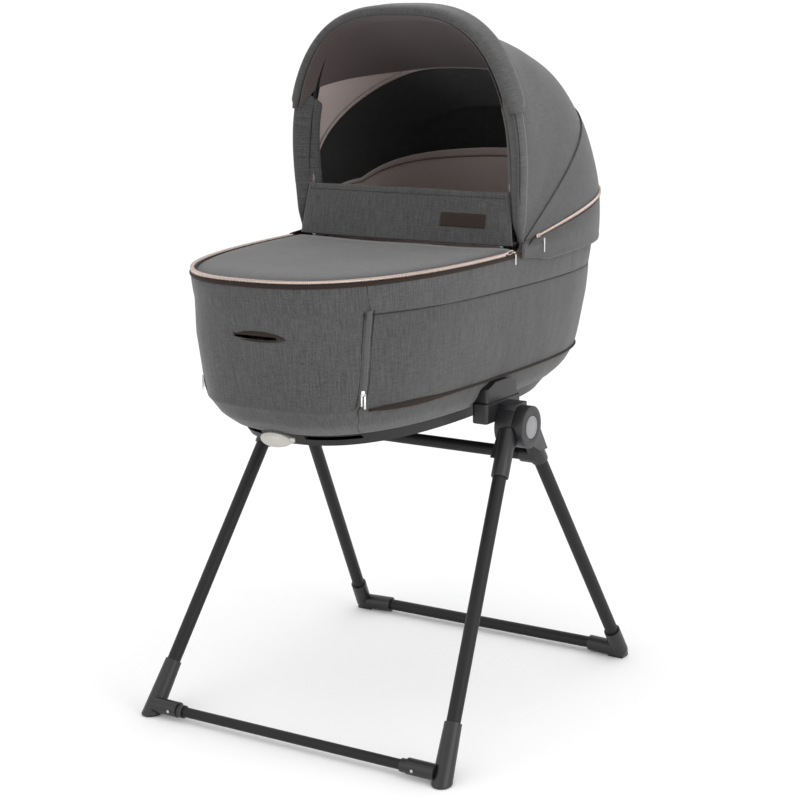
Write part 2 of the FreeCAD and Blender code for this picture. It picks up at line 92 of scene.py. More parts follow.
# height, half width, foot end, head end, head power, foot power of the outer skin
SECTIONS = [
    (480.0, 146.0, -325.0, 344.0, 2.8, 2.7),
    (484.0, 148.0, -328.0, 348.0, 2.8, 2.7),
    (505.0, 161.0, -353.0, 394.0, 2.8, 2.8),
    (522.0, 174.0, -375.0, 415.0, 3.0, 3.0),
    (548.0, 185.0, -393.0, 434.0, 3.1, 3.2),
    (640.0, 201.0, -409.0, 450.0, 3.1, 3.0),
    (700.0, 209.0, -420.0, 458.0, 3.0, 2.7),
    (746.0, 217.0, -430.0, 463.0, 3.0, 2.6),
    (760.0, 217.0, -430.0, 463.0, 3.0, 2.6),
]

# ---- shape of the hood ----
HOOD_HALF_X, HOOD_FLARE = 207.0, 12.0
FRONT_DEG, MIDDLE_DEG, ZIP_DEG = 94.0, 31.0, 9.0
REACH_FRONT, REACH_BACK = 370.0, 424.0
HOOD_POWER = 3.0           # roundness of the bows and of the lining
# outer cloth: angle, reach from the pivot and roundness; it is taut between the bows
HOOD_CLOTH = [(-6.0, 438.0, 3.9), (9.0, 432.0, 3.82), (20.0, 418.0, 3.7), (31.0, 408.0, 3.58),
              (45.0, 390.0, 3.45), (60.0, 363.0, 3.3), (76.0, 349.0, 3.1), (90.0, 367.0, 2.9),
              (94.0, 370.0, 2.9), (100.0, 371.0, 2.9)]
LINING_INSET = 24.5
HEM_ALLOWANCE = 0.004      # metres of cloth that a sheet has for its hems
HOOD_ZIP_LENGTH = 1040.0
HOOD_PULL_SIZE = (19.0, 3.6, 1.4)  # length, width and thickness of a hood zip's pull
APRON_INSET = 8.6          # the cover stops this far inside the rim, beside the zip
APRON_HEAD_Y = 3.0         # head edge of the cover
PUFF_FRAMES = 20           # length of the mattress simulation
WELD = 1e-6                # metres; points nearer than this are one
VISOR_TIP_R = 205.0        # the visor's tips are this far from the pivot
ARCH_REACH = 395.0         # reach of the arch that shares along the hood are measured on


def place(x, y, z):
    """Point in the shared frame, in metres."""
    return Vector((x / 1000, HUB_Y + y / 1000, z / 1000))


def smooth(value):
    """Smooth step from 0 to 1, clipped at both ends."""
    value = min(1.0, max(0.0, value))
    return value * value * (3 - 2 * value)


def signed_power(value, power):
    return math.copysign(abs(value) ** power, value)


def read_at(rows, key):
    """Values of a sorted table of (key, value...) rows, between the two rows beside key."""
    i = min(max(bisect.bisect_left(rows, (key,)), 1), len(rows) - 1)
    low, high = rows[i - 1], rows[i]
    f = (key - low[0]) / max(high[0] - low[0], 1e-9)
    return [a + (b - a) * f for a, b in zip(low[1:], high[1:])]


def section(z):
    """Half width, foot end, head end, head power and foot power of the skin at height z."""
    return read_at(SECTIONS, min(max(z, SECTIONS[0][0]), SECTIONS[-1][0]))


@functools.lru_cache(maxsize=None)
def outline_table(z, inset):
    """Outline at one height as (share of its length, x, y), from the head end round to the right."""
    half, foot, head, head_power, foot_power = section(z)
    half -= inset
    middle = (foot + head) / 2
    reach = (head - foot) / 2 - inset
    rows = []
    length = 0.0
    steps = 960
    for i in range(steps + 1):
        turn = math.pi / 2 - 2 * math.pi * i / steps
        c, s = math.cos(turn), math.sin(turn)
        power = 2 / (head_power if s > 0 else foot_power)
        x, y = half * signed_power(c, power), middle + reach * signed_power(s, power)
        if rows:
            length += math.hypot(x - rows[-1][1], y - rows[-1][2])
        rows.append((length, x, y))
    return [(run / length, x, y) for run, x, y in rows], length


def outline(z, u, inset=0.0):
    """Point (x, y) on the outline at height z and share u of the way round."""
    return tuple(read_at(outline_table(round(z, 1), round(inset, 2))[0], u % 1.0))


def outward(z, u):
    """Level direction (x, y) that points away from the bassinet at this place."""
    x0, y0 = outline(z, u - 0.002)
    x1, y1 = outline(z, u + 0.002)
    size = math.hypot(x1 - x0, y1 - y0)
    return (y0 - y1) / size, (x1 - x0) / size


def corner_x(z):
    """Distance of the upright zips from the middle at this height."""
    return read_at(CORNER_LINE, z)[0]


def share_at(z, wanted, axis):
    """Share of the outline, on the right side, where x (at the foot) or y has this value."""
    low, high = (0.3, 0.5) if axis == "x" else (0.02, 0.48)
    for _ in range(40):
        middle = (low + high) / 2
        x, y = outline(z, middle)
        if (x if axis == "x" else y) > wanted:
            low = middle
        else:
            high = middle
    return low


def rim_height(y):
    return RIM_Z + RIM_SLOPE * y


def sloped(z, y):
    """Height z, raised above the seam as the rim rises towards the head."""
    return z + RIM_SLOPE * y * max(0.0, (z - SEAM_Z) / (RIM_Z - SEAM_Z))


# ---- hood geometry ----
def reach_at(degrees):
    return REACH_FRONT + (REACH_BACK - REACH_FRONT) * (FRONT_DEG - degrees) / (FRONT_DEG - ZIP_DEG)


@functools.lru_cache(maxsize=None)
def arch_table():
    """Arch parameter against the share of the arch's length, right side to left side."""
    start = math.asin((3.0 / ARCH_REACH) ** (HOOD_POWER / 2))
    rows = []
    length = 0.0
    steps = 900
    last = None
    for i in range(steps + 1):
        turn = start + (math.pi - 2 * start) * i / steps
        c, s = math.cos(turn), math.sin(turn)
        here = (HOOD_HALF_X * signed_power(c, 2 / HOOD_POWER), ARCH_REACH * s ** (2 / HOOD_POWER))
        if last:
            length += math.hypot(here[0] - last[0], here[1] - last[1])
        last = here
        rows.append((length, turn))
    return [(run / length, turn) for run, turn in rows]


def arch_turn(q):
    """Arch parameter in radians at share q of the arch's length."""
    return read_at(arch_table(), min(max(q, 0.0), 1.0))[0]


def share_of_turn(turn):
    rows = arch_table()
    turns = [row[1] for row in rows]
    return rows[min(bisect.bisect_left(turns, turn), len(rows) - 1)][0]


@functools.lru_cache(maxsize=None)
def cloth_arch(degrees):
    """Reach and roundness of the outer cloth, on a smooth curve through HOOD_CLOTH."""
    i = 1
    while i < len(HOOD_CLOTH) - 3 and degrees > HOOD_CLOTH[i + 1][0]:
        i += 1
    (a0, *p0), (a1, *p1), (a2, *p2), (a3, *p3) = HOOD_CLOTH[i - 1:i + 3]
    span = a2 - a1
    t = min(max((degrees - a1) / span, 0.0), 1.0)
    values = []
    for v0, v1, v2, v3 in zip(p0, p1, p2, p3):
        m1 = (v2 - v0) / (a2 - a0) * span
        m2 = (v3 - v1) / (a3 - a1) * span
        values.append((2 * t ** 3 - 3 * t ** 2 + 1) * v1 + (t ** 3 - 2 * t ** 2 + t) * m1
                      + (3 * t ** 2 - 2 * t ** 3) * v2 + (t ** 3 - t ** 2) * m2)
    return tuple(values)


def turn_at(degrees, r):
    """Arch parameter where the cloth is r from the pivot's axis."""
    reach, power = cloth_arch(degrees)
    return math.asin(min(1.0, (r / reach) ** (power / 2)))


def hood_point(degrees, turn, out=0.0, ahead=0.0, plain=False):
    """Point on the hood in the plane at this angle up from the head end.

    out moves it away from the hood's inside, ahead moves it across the plane to the foot end.
    plain gives the shape of the bows and the lining instead of the outer cloth.
    """
    reach, power = (reach_at(degrees), HOOD_POWER) if plain else cloth_arch(degrees)
    c, s = math.cos(turn), math.sin(turn)
    r = reach * abs(s) ** (2 / power)
    half = HOOD_HALF_X + HOOD_FLARE * smooth((degrees - 45) / 45) * smooth(r / 200)
    x = half * signed_power(c, 2 / power)
    nx = signed_power(x / half, power - 1) / half
    nr = (r / reach) ** (power - 1) / reach
    size = math.hypot(nx, nr)
    x += out * nx / size
    r += out * nr / size
    angle = math.radians(degrees)
    y = PIVOT_Y + r * math.cos(angle) - ahead * math.sin(angle)
    z = PIVOT_Z + r * math.sin(angle) + ahead * math.cos(angle)
    return x, y, z


def lining_point(turn, s, extra=0.0):
    """Taut inner lining: s runs 0 to 1 from the front bow to the middle bow, then 2 at the zip."""
    def taut(degrees):
        return hood_point(degrees, turn, -LINING_INSET - extra, plain=True)

    if s < 0:
        a, b, f = taut(92.0), hood_point(FRONT_DEG, turn, -14.0, 22.0), -s
    elif s <= 1:
        a, b, f = taut(92.0), taut(MIDDLE_DEG), s
    else:
        a, b, f = taut(MIDDLE_DEG), taut(ZIP_DEG - 2), s - 1
        f = f if f < 1 else 1 + (f - 1) * 0.5
    return tuple(p + (q - p) * f for p, q in zip(a, b))


def off_centre(turn):
    """0 at the top of an arch, 1 at its foot."""
    return abs(turn - math.pi / 2) / (math.pi / 2)


def brown_edge(turn):
    return 0.52 * max(0.0, 1 - (off_centre(turn) / 0.64) ** 2.7)


def mesh_top(turn):
    return 0.52 * max(0.0, 1 - (off_centre(turn) / 0.934) ** 3.3)


def mesh_bottom(turn):
    low = 0.5 * (1 - (off_centre(turn) / 0.85) ** 2.8)
    return 1 + (low if low > 0 else 3.0 * low)


# ---- mesh tools ----
def grid_lengths(bm, shares):
    """Mean width and length of a grid whose vertices are at their final places."""
    across = along = 0.0
    columns, rows = set(), set()
    for vert in bm.verts:
        columns.add(round(shares[vert][0], 5))
        rows.add(round(shares[vert][1], 5))
    for edge in bm.edges:
        (u0, v0), (u1, v1) = shares[edge.verts[0]], shares[edge.verts[1]]
        if abs(u1 - u0) > abs(v1 - v0):
            across += edge.calc_length()
        else:
            along += edge.calc_length()
    return across / len(rows), along / len(columns)


def patch(columns, rows, at, inside=None):
    """Grid with each vertex moved to at(u, v), and its cloth lengths in metres.

    inside is a point in millimetres that the faces look away from. Without it the patch closes
    on itself, and its faces are turned outwards.
    """
    bm = bmesh.new()
    bmesh.ops.create_grid(bm, x_segments=columns, y_segments=rows, size=0.5)
    shares = {}
    for vert in bm.verts:
        shares[vert] = (vert.co.x + 0.5, vert.co.y + 0.5)
    for vert in bm.verts:
        vert.co = place(*at(*shares[vert]))
    width, length = grid_lengths(bm, shares)
    layer = bm.loops.layers.uv.new("Cloth")
    for face in bm.faces:
        for loop in face.loops:
            u, v = shares[loop.vert]
            loop[layer].uv = (u * width, v * length)
    bmesh.ops.remove_doubles(bm, verts=bm.verts[:], dist=2e-5)
    bmesh.ops.dissolve_degenerate(bm, dist=WELD, edges=bm.edges[:])
    bm.normal_update()
    if inside is None:
        ends = [edge for edge in bm.edges if edge.is_boundary]
        if ends:
            bmesh.ops.holes_fill(bm, edges=ends, sides=0)
        bmesh.ops.recalc_face_normals(bm, faces=bm.faces[:])
    else:
        centre = place(*inside)
        facing = 0.0
        for face in bm.faces:
            facing += (face.calc_center_median() - centre).dot(face.normal) * face.calc_area()
        if facing < 0:
            bmesh.ops.reverse_faces(bm, faces=bm.faces[:])
    return bm, (width, length)


def swept(columns, path, profile):
    """Closed profile of (out, up) points carried along path(u), which gives a place and two ways."""
    count = len(profile)

    def at(u, v):
        point, out, up = path(u)
        a, b = profile[int(round(v * count)) % count]
        if callable(a):
            a, b = a(u), b(u)
        return tuple(p + o * a + w * b for p, o, w in zip(point, out, up))

    return patch(columns, count, at)[0]


def ways(point, out, up):
    """Place and two directions for swept(), from a point and one point further each way."""
    base = Vector(point)
    return point, tuple(Vector(out) - base), tuple(Vector(up) - base)


def oval(out_radius, up_radius, count=10, out=0.0, up=0.0):
    points = []
    for i in range(count):
        turn = 2 * math.pi * i / count
        points.append((out + out_radius * math.cos(turn), up + up_radius * math.sin(turn)))
    return points


def changing_oval(out, out_radius, up_radius):
    """Oval whose radii follow the path; up_radius also gets which way is up."""
    points = []
    for c, s in oval(1.0, 1.0):
        points.append((lambda u, c=c: out + out_radius(u) * c,
                       lambda u, s=s: up_radius(u, s) * s))
    return points


def across_bows(obj):
    """Bakes the piece's placement into its mesh; the points it works out on the middle and front bows are not
    used.
    """
    start = hood_point(MIDDLE_DEG, math.pi / 2)
    end = hood_point(91.0, math.pi / 2)
    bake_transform(obj)


def from_tub(obj):
    """Bakes the piece's placement into its mesh; the points it works out on the hood are not used."""
    start = hood_point(ZIP_DEG + 1, math.pi / 2)
    end = hood_point(MIDDLE_DEG, math.pi / 2)
    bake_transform(obj)


def carried(obj, carrier, *nodes):
    """Ties a piece to a body, or hands it to a function; it takes the place of nodes."""
    if callable(carrier):
        carrier(obj)
    else:
        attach(obj, carrier)
    if nodes:
        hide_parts(*nodes)
    return obj


def make_object(name, bm, material):
    """Object at the origin with smooth faces; material may be one or several."""
    mesh = bpy.data.meshes.new(name)
    for face in bm.faces:
        face.smooth = True
    bm.to_mesh(mesh)
    bm.free()
    obj = bpy.data.objects.new(name, mesh)
    bpy.context.scene.collection.objects.link(obj)
    for one in (material if isinstance(material, (list, tuple)) else [material]):
        mesh.materials.append(one)
    return obj


def thicken(obj, thickness, offset=-1.0):
    solid = obj.modifiers.new("Cloth thickness", "SOLIDIFY")
    solid.thickness = thickness / 1000
    solid.offset = offset
    solid.use_even_offset = False
    return obj


def cloth(name, columns, rows, at, inside, material, slot, rests_on, thickness, carrier, *nodes,
          held="stretched"):
    """Thin sheet from a grid, thickened and tied to its carrier; the size it was cut to is worked out but not
    used.
    """
    bm, flat = patch(columns, rows, at, inside)
    area = sum(face.calc_area() for face in bm.faces)
    obj = thicken(make_object(name, bm, material), thickness)
    flat = (max(flat[0], area / flat[1]) + HEM_ALLOWANCE, flat[1] + HEM_ALLOWANCE)
    return carried(obj, carrier, *nodes)


def shape(name, bm, material, slot, carrier, *nodes):
    return carried(make_object(name, bm, material), carrier, *nodes)


def joined(*meshes):
    """One bmesh from several; the others are freed."""
    whole = bmesh.new()
    for bm in meshes:
        part = bpy.data.meshes.new("part")
        bm.to_mesh(part)
        bm.free()
        whole.from_mesh(part)
        bpy.data.meshes.remove(part)
    return whole


def block(size, centre, turn=None, bevel=0.0, segments=2):
    """Box with rounded edges, in millimetres; turn is a rotation matrix."""
    bm = bmesh.new()
    bmesh.ops.create_cube(bm, size=1.0)
    bmesh.ops.scale(bm, vec=Vector(size) / 1000, verts=bm.verts[:])
    if bevel:
        bmesh.ops.bevel(bm, geom=bm.edges[:], offset=bevel / 1000, segments=segments,
                        profile=0.5, affect="EDGES", material=-1, clamp_overlap=True)
    if turn is not None:
        bmesh.ops.transform(bm, matrix=turn.to_4x4(), verts=bm.verts[:])
    bmesh.ops.translate(bm, vec=place(*centre), verts=bm.verts[:])
    return bm


def frame_matrix(out, up):
    """Rotation whose X axis is along, Y is out and Z is up."""
    out = Vector(out).normalized()
    up = (Vector(up) - out * out.dot(Vector(up))).normalized()
    along = out.cross(up)
    return Matrix((along, out, up)).transposed()


def lathe(profile, centre, axis, steps=48):
    """Closed turned shape: profile of (radius, along) in millimetres, spun about axis."""
    bm = bmesh.new()
    verts = [bm.verts.new((radius / 1000, 0, along / 1000)) for radius, along in profile]
    edges = [bm.edges.new(pair) for pair in zip(verts, verts[1:])]
    bmesh.ops.spin(bm, geom=verts + edges, cent=(0, 0, 0), axis=(0, 0, 1), dvec=(0, 0, 0),
                   angle=2 * math.pi, steps=steps, use_merge=True, use_duplicate=False)
    bmesh.ops.remove_doubles(bm, verts=bm.verts[:], dist=WELD)
    bmesh.ops.recalc_face_normals(bm, faces=bm.faces[:])
    turn = Vector((0, 0, 1)).rotation_difference(Vector(axis)).to_matrix()
    bmesh.ops.transform(bm, matrix=turn.to_4x4(), verts=bm.verts[:])
    bmesh.ops.translate(bm, vec=place(*centre), verts=bm.verts[:])
    return bm


def softened(node, material, slot, body, width=0.0):
    """Copy of a hard part with joined corners, smooth curves and fine rounded edges."""
    bm = bmesh.new()
    bm.from_mesh(frame["nodes"][node].data)
    bmesh.ops.remove_doubles(bm, verts=bm.verts[:], dist=1e-5)
    bmesh.ops.dissolve_limit(bm, angle_limit=math.radians(1.0), verts=bm.verts[:],
                             edges=bm.edges[:], use_dissolve_boundaries=False)

    def creases(degrees):
        return [edge for edge in bm.edges if len(edge.link_faces) == 2
                and edge.calc_face_angle(0.0) > math.radians(degrees)]

    if width:
        sharp = [edge for edge in creases(40) if edge.calc_length() > 0.0012]
        bmesh.ops.bevel(bm, geom=sharp, offset=width / 1000, segments=2, profile=0.5,
                        affect="EDGES", material=-1, clamp_overlap=False)
        bmesh.ops.dissolve_degenerate(bm, dist=WELD, edges=bm.edges[:])
    bmesh.ops.triangulate(bm, faces=[f for f in bm.faces if len(f.verts) > 4])
    for edge in creases(32):
        edge.smooth = False
    shape(node + "_finished", bm, material, slot, body, node)


# ---- material tools ----
def socket_group(name, inputs, outputs):
    """Empty shader node group with named sockets; inputs are (name, type, default)."""
    group = bpy.data.node_groups.new(name, "ShaderNodeTree")
    for label, kind, default in inputs:
        sock = group.interface.new_socket(label, in_out="INPUT", socket_type="NodeSocket" + kind)
        if default is not None:
            sock.default_value = default
    for label, kind in outputs:
        group.interface.new_socket(label, in_out="OUTPUT", socket_type="NodeSocket" + kind)
    return group, group.nodes.new("NodeGroupInput"), group.nodes.new("NodeGroupOutput")


class Wiring:
    """Short ways to add nodes to one tree."""

    def __init__(self, tree):
        self.tree = tree

    def put(self, socket, value):
        if isinstance(value, bpy.types.NodeSocket):
            self.tree.links.new(value, socket)
        elif value is not None:
            socket.default_value = value

    def math(self, operation, a, b=None, clamp=False):
        node = self.tree.nodes.new("ShaderNodeMath")
        node.operation = operation
        node.use_clamp = clamp
        self.put(node.inputs[0], a)
        self.put(node.inputs[1], b)
        return node.outputs[0]

    def swing(self, value, centre, gain):
        """gain times how far value is above centre."""
        return self.math("MULTIPLY", self.math("SUBTRACT", value, centre), gain)

    def lines(self, vector, axis, pitch):
        """Sine lines across one axis of a vector; pitch is the distance between them."""
        split = self.tree.nodes.new("ShaderNodeSeparateXYZ")
        self.put(split.inputs[0], vector)
        turns = self.math("DIVIDE", 2 * math.pi, pitch)
        return self.math("SINE", self.math("MULTIPLY", split.outputs[axis], turns))

    def source(self, by_place=False):
        """The piece's own cloth map, or its place."""
        if by_place:
            return self.tree.nodes.new("ShaderNodeTexCoord").outputs["Object"]
        node = self.tree.nodes.new("ShaderNodeUVMap")
        node.uv_map = "Cloth"
        return node.outputs["UV"]

    def group(self, tree, source, **values):
        """Outputs of a node group; values are its sockets by name."""
        node = self.tree.nodes.new("ShaderNodeGroup")
        node.node_tree = tree
        self.put(node.inputs["Vector"], source)
        for label, value in values.items():
            node.inputs[label].default_value = value
        return node.outputs

    def vector_scale(self, vector, size):
        node = self.tree.nodes.new("ShaderNodeVectorMath")
        node.operation = "MULTIPLY"
        self.put(node.inputs[0], vector)
        self.put(node.inputs[1], size)
        return node.outputs[0]

    def noise(self, vector, scale, detail=2.0, roughness=0.5):
        node = self.tree.nodes.new("ShaderNodeTexNoise")
        self.put(node.inputs["Vector"], vector)
        self.put(node.inputs["Scale"], scale)
        node.inputs["Detail"].default_value = detail
        node.inputs["Roughness"].default_value = roughness
        return node.outputs["Fac"]

    def span(self, value, low, high, to_low=0.0, to_high=1.0):
        node = self.tree.nodes.new("ShaderNodeMapRange")
        self.put(node.inputs["Value"], value)
        for label, number in (("From Min", low), ("From Max", high),
                              ("To Min", to_low), ("To Max", to_high)):
            self.put(node.inputs[label], number)
        return node.outputs["Result"]

    def mix(self, factor, a, b):
        node = self.tree.nodes.new("ShaderNodeMix")
        node.data_type = "RGBA"
        self.put(node.inputs[0], factor)
        self.put(node.inputs[6], a)
        self.put(node.inputs[7], b)
        return node.outputs[2]


def colour(value, gain=1.0):
    return (value[0] * gain, value[1] * gain, value[2] * gain, 1.0)


@functools.lru_cache(maxsize=None)
def weave_group():
    """Melange cloth: crossing threads, thick slubs along the warp and slow shade changes."""
    group, given, result = socket_group("Melange Weave", [
        ("Vector", "Vector", None), ("Dark", "Color", (0.05, 0.05, 0.05, 1)),
        ("Light", "Color", (0.2, 0.2, 0.2, 1)), ("Thread", "Float", 0.0009),
        ("Slub", "Float", 0.5), ("Patch", "Float", 0.12)],
        [("Color", "Color"), ("Height", "Float"), ("Roughness", "Float")])
    w = Wiring(group)
    vector, thread = given.outputs["Vector"], given.outputs["Thread"]
    cross = w.math("MULTIPLY", w.lines(vector, 0, thread), w.lines(vector, 1, thread))
    fine = w.noise(vector, 520.0, 3.0, 0.75)
    slub = w.noise(w.vector_scale(vector, (430.0, 42.0, 42.0)), 1.0, 2.0)
    pick = w.noise(w.vector_scale(vector, (60.0, 420.0, 420.0)), 1.0, 1.0)
    slow = w.noise(vector, 9.0, 2.0)
    shade = w.math("ADD", 0.5, w.swing(fine, 0.5, 1.7))
    for extra in (w.swing(slub, 0.5, given.outputs["Slub"]), w.swing(pick, 0.5, 0.4),
                  w.math("MULTIPLY", cross, 0.06)):
        shade = w.math("ADD", shade, extra)
    shade = w.math("ADD", shade, w.swing(slow, 0.5, given.outputs["Patch"]), clamp=True)
    group.links.new(w.mix(shade, given.outputs["Dark"], given.outputs["Light"]),
                    result.inputs["Color"])
    height = w.math("ADD", w.math("MULTIPLY", cross, 0.25), w.math("MULTIPLY", slub, 0.9))
    height = w.math("ADD", height, w.math("MULTIPLY", fine, 0.6))
    group.links.new(height, result.inputs["Height"])
    group.links.new(w.span(fine, 0.3, 0.7, 0.86, 0.98), result.inputs["Roughness"])
    return group


@functools.lru_cache(maxsize=None)
def grain_group():
    """Moulded or coated surface: fine grain, slow shade changes and scuffed spots."""
    group, given, result = socket_group("Fine Grain", [
        ("Vector", "Vector", None), ("Color", "Color", (0.02, 0.02, 0.02, 1)),
        ("Worn", "Color", (0.06, 0.06, 0.06, 1)), ("Grain", "Float", 1400.0),
        ("Roughness", "Float", 0.45), ("Spread", "Float", 0.12), ("Wear", "Float", 0.3)],
        [("Color", "Color"), ("Height", "Float"), ("Roughness", "Float")])
    w = Wiring(group)
    vector = given.outputs["Vector"]
    grain = w.noise(vector, given.outputs["Grain"], 2.0, 0.6)
    slow = w.noise(vector, 14.0, 3.0)
    scuff = w.noise(w.vector_scale(vector, (60.0, 60.0, 11.0)), 1.0, 5.0, 0.65)
    mask = w.math("MULTIPLY", w.span(scuff, 0.62, 0.78), given.outputs["Wear"])
    mask = w.math("ADD", mask, w.swing(slow, 0.4, 0.18), clamp=True)
    group.links.new(w.mix(mask, given.outputs["Color"], given.outputs["Worn"]),
                    result.inputs["Color"])
    group.links.new(grain, result.inputs["Height"])
    rough = w.math("ADD", w.swing(slow, 0.5, given.outputs["Spread"]),
                   w.math("MULTIPLY", mask, 0.12))
    group.links.new(w.math("ADD", given.outputs["Roughness"], rough, clamp=True),
                    result.inputs["Roughness"])
    return group


@functools.lru_cache(maxsize=None)
def rib_group():
    """Ribbed tape or net: fine lines one way, or both ways for a net."""
    group, given, result = socket_group("Ribs", [
        ("Vector", "Vector", None), ("Pitch", "Float", 0.0012), ("Net", "Float", 0.0)],
        [("Lines", "Float")])
    w = Wiring(group)
    vector, pitch = given.outputs["Vector"], given.outputs["Pitch"]
    one = w.lines(vector, 0, pitch)
    other = w.math("MULTIPLY", w.lines(vector, 1, pitch), given.outputs["Net"])
    total = w.math("ADD", w.math("MULTIPLY", w.math("ADD", one, other), 0.25), 0.5)
    group.links.new(total, result.inputs["Lines"])
    return group


def start_material(name):
    material = bpy.data.materials.get(name)
    if material:
        return material, None, None
    material = bpy.data.materials.new(name)
    material.use_nodes = True
    nodes = material.node_tree.nodes
    return material, nodes["Principled BSDF"], Wiring(material.node_tree)


def add_bump(wires, shader, height, strength, distance):
    bump = wires.tree.nodes.new("ShaderNodeBump")
    bump.inputs["Strength"].default_value = strength
    bump.inputs["Distance"].default_value = distance
    wires.put(bump.inputs["Height"], height)
    wires.put(shader.inputs["Normal"], bump.outputs["Normal"])


def cloth_material(name, tone, contrast=0.45, slub=0.5, patchy=0.12, sheen=0.25,
                   thread=0.0009, bump=0.35, object_space=False):
    """Woven cloth whose threads follow the piece's own cloth map."""
    material, shader, wires = start_material(name)
    if shader is None:
        return material
    weave = wires.group(weave_group(), wires.source(object_space), Dark=colour(tone, 1 - contrast),
                        Light=colour(tone, 1 + contrast), Thread=thread, Slub=slub, Patch=patchy)
    wires.put(shader.inputs["Base Color"], weave["Color"])
    wires.put(shader.inputs["Roughness"], weave["Roughness"])
    shader.inputs["Specular IOR Level"].default_value = 0.25
    shader.inputs["Sheen Weight"].default_value = sheen
    shader.inputs["Sheen Roughness"].default_value = 0.45
    add_bump(wires, shader, weave["Height"], bump, 0.0004)
    return material


def hard_material(name, tone, worn, roughness, grain=1400.0, spread=0.12, wear=0.3,
                  metallic=0.0, bump=0.12, specular=0.5):
    """Moulded plastic, powder coat or cast metal with grain and light wear."""
    material, shader, wires = start_material(name)
    if shader is None:
        return material
    surface = wires.group(grain_group(), wires.source(by_place=True), Color=colour(tone),
                          Worn=colour(worn), Grain=grain, Roughness=roughness, Spread=spread,
                          Wear=wear)
    wires.put(shader.inputs["Base Color"], surface["Color"])
    wires.put(shader.inputs["Roughness"], surface["Roughness"])
    shader.inputs["Metallic"].default_value = metallic
    shader.inputs["Specular IOR Level"].default_value = specular
    add_bump(wires, shader, surface["Height"], bump, 0.0003)
    return material


def ribbed_material(name, dark, light, pitch, net=0.0, roughness=0.75, sheen=0.15):
    """Tape or net with fine lines across its cloth map."""
    material, shader, wires = start_material(name)
    if shader is None:
        return material
    cloth_map = wires.source()
    ribs = wires.group(rib_group(), cloth_map, Pitch=pitch, Net=net)["Lines"]
    blotch = wires.noise(cloth_map, 60.0, 3.0)
    level = wires.math("ADD", wires.math("MULTIPLY", ribs, 0.7),
                       wires.math("MULTIPLY", blotch, 0.4), clamp=True)
    wires.put(shader.inputs["Base Color"], wires.mix(level, colour(dark), colour(light)))
    wires.put(shader.inputs["Roughness"], wires.span(blotch, 0.3, 0.7, roughness - 0.08,
                                                     roughness + 0.08))
    shader.inputs["Sheen Weight"].default_value = sheen
    add_bump(wires, shader, ribs, 0.4, 0.0004)
    return material


# ---- settings ----
def tone_property(label, default, about):
    return FloatVectorProperty(name=label, description=about, default=default, size=3,
                               min=0.0, max=1.0, subtype="COLOR")


class BASSINET_PG_finishes(bpy.types.PropertyGroup):
    """Colours of the finishes."""
    fabric: tone_property("Fabric", (0.066, 0.066, 0.0662), "Grey melange cloth")
    brown: tone_property("Trim", (0.022, 0.014, 0.011), "Dark brown bindings and piping")
    gold: tone_property("Zip", (0.56, 0.46, 0.41), "Champagne zip teeth")
    lining: tone_property("Lining", (0.09, 0.069, 0.068), "Brown lining of the hood's front")
    beige: tone_property("Inner lining", (0.47, 0.39, 0.37), "Rosy beige inner lining")
    tube: tone_property("Tube", (0.0075, 0.0075, 0.008), "Powder coat of the stand")
    plastic: tone_property("Plastic", (0.010, 0.010, 0.0115), "Moulded hubs and feet")
    knob: tone_property("Knob", (0.46, 0.45, 0.41), "Recline knob")


class BASSINET_PG_sizes(bpy.types.PropertyGroup):
    """Sizes that a user may change."""
    tooth_pitch: FloatProperty(name="Tooth pitch", description="Distance between zip teeth",
                               default=0.0026, min=0.001, unit="LENGTH")
    mattress_cap: FloatProperty(name="Mattress swell", description="Most that the pad may swell",
                                default=0.007, min=0.0, unit="LENGTH")
    edge_round: FloatProperty(name="Edge rounding", description="Rounding of hard edges, mm",
                              default=0.9, min=0.0)


def finishes():
    return bpy.context.scene.bassinet_finishes


def sizes():
    return bpy.context.scene.bassinet_sizes


def fabric():
    return cloth_material("Grey melange cloth", finishes().fabric, contrast=0.55, slub=1.0,
                          patchy=0.3)


# painted shadow: a dark copy of the fabric, for thin strips that stand for the shade in seam grooves and gaps
def painted_seam_shadow():
    return cloth_material("Painted seam shadow", finishes().fabric * 0.3, contrast=0.3, slub=0.2,
                          patchy=0.1, sheen=0.1)


def brown_trim():
    return cloth_material("Dark brown trim", finishes().brown, contrast=0.35, slub=0.2, patchy=0.1,
                          sheen=0.08, thread=0.0012, bump=0.3)


def gold_metal():
    return hard_material("Champagne zip metal", finishes().gold, (0.6, 0.5, 0.43), roughness=0.27,
                         grain=2200.0, spread=0.1, wear=0.2, metallic=1.0, bump=0.05)


def pull_metal():
    return hard_material("Silver pull metal", (0.66, 0.65, 0.64), (0.4, 0.4, 0.4), roughness=0.26,
                         grain=2200.0, spread=0.1, wear=0.25, metallic=1.0, bump=0.04)


def black_plastic():
    return hard_material("Black moulded plastic", finishes().plastic, (0.05, 0.05, 0.052),
                         roughness=0.40, grain=1500.0, spread=0.12, wear=0.3)


# ---- paths along the bassinet ----
def rim_path(start, end, up=0.0, inset=0.0):
    """Path on the sloping rim between two shares of the outline."""
    def path(u):
        share = start + (end - start) * u
        x, y = outline(RIM_Z, share)
        ox, oy = outward(RIM_Z, share)
        return (x - ox * inset, y - oy * inset, rim_height(y) + up), (ox, oy, 0), (0, 0, 1)
    return path


def level_path(z, start, end):
    def path(u):
        share = start + (end - start) * u
        x, y = outline(z, share)
        ox, oy = outward(z, share)
        return (x, y, z), (ox, oy, 0), (0, 0, 1)
    return path


def upright_path(side, low, high, shift=0.0):
    """Path up the foot corner; out is away from the skin and up is across the strip."""
    def path(u):
        z = low + (high - low) * u
        share = share_at(z, corner_x(z) + shift, "x")
        px, py = outline(z, share)
        ox, oy = outward(z, share)
        return (side * px, py, sloped(z, py)), (side * ox, oy, 0), (-side * oy, ox, 0)
    return path


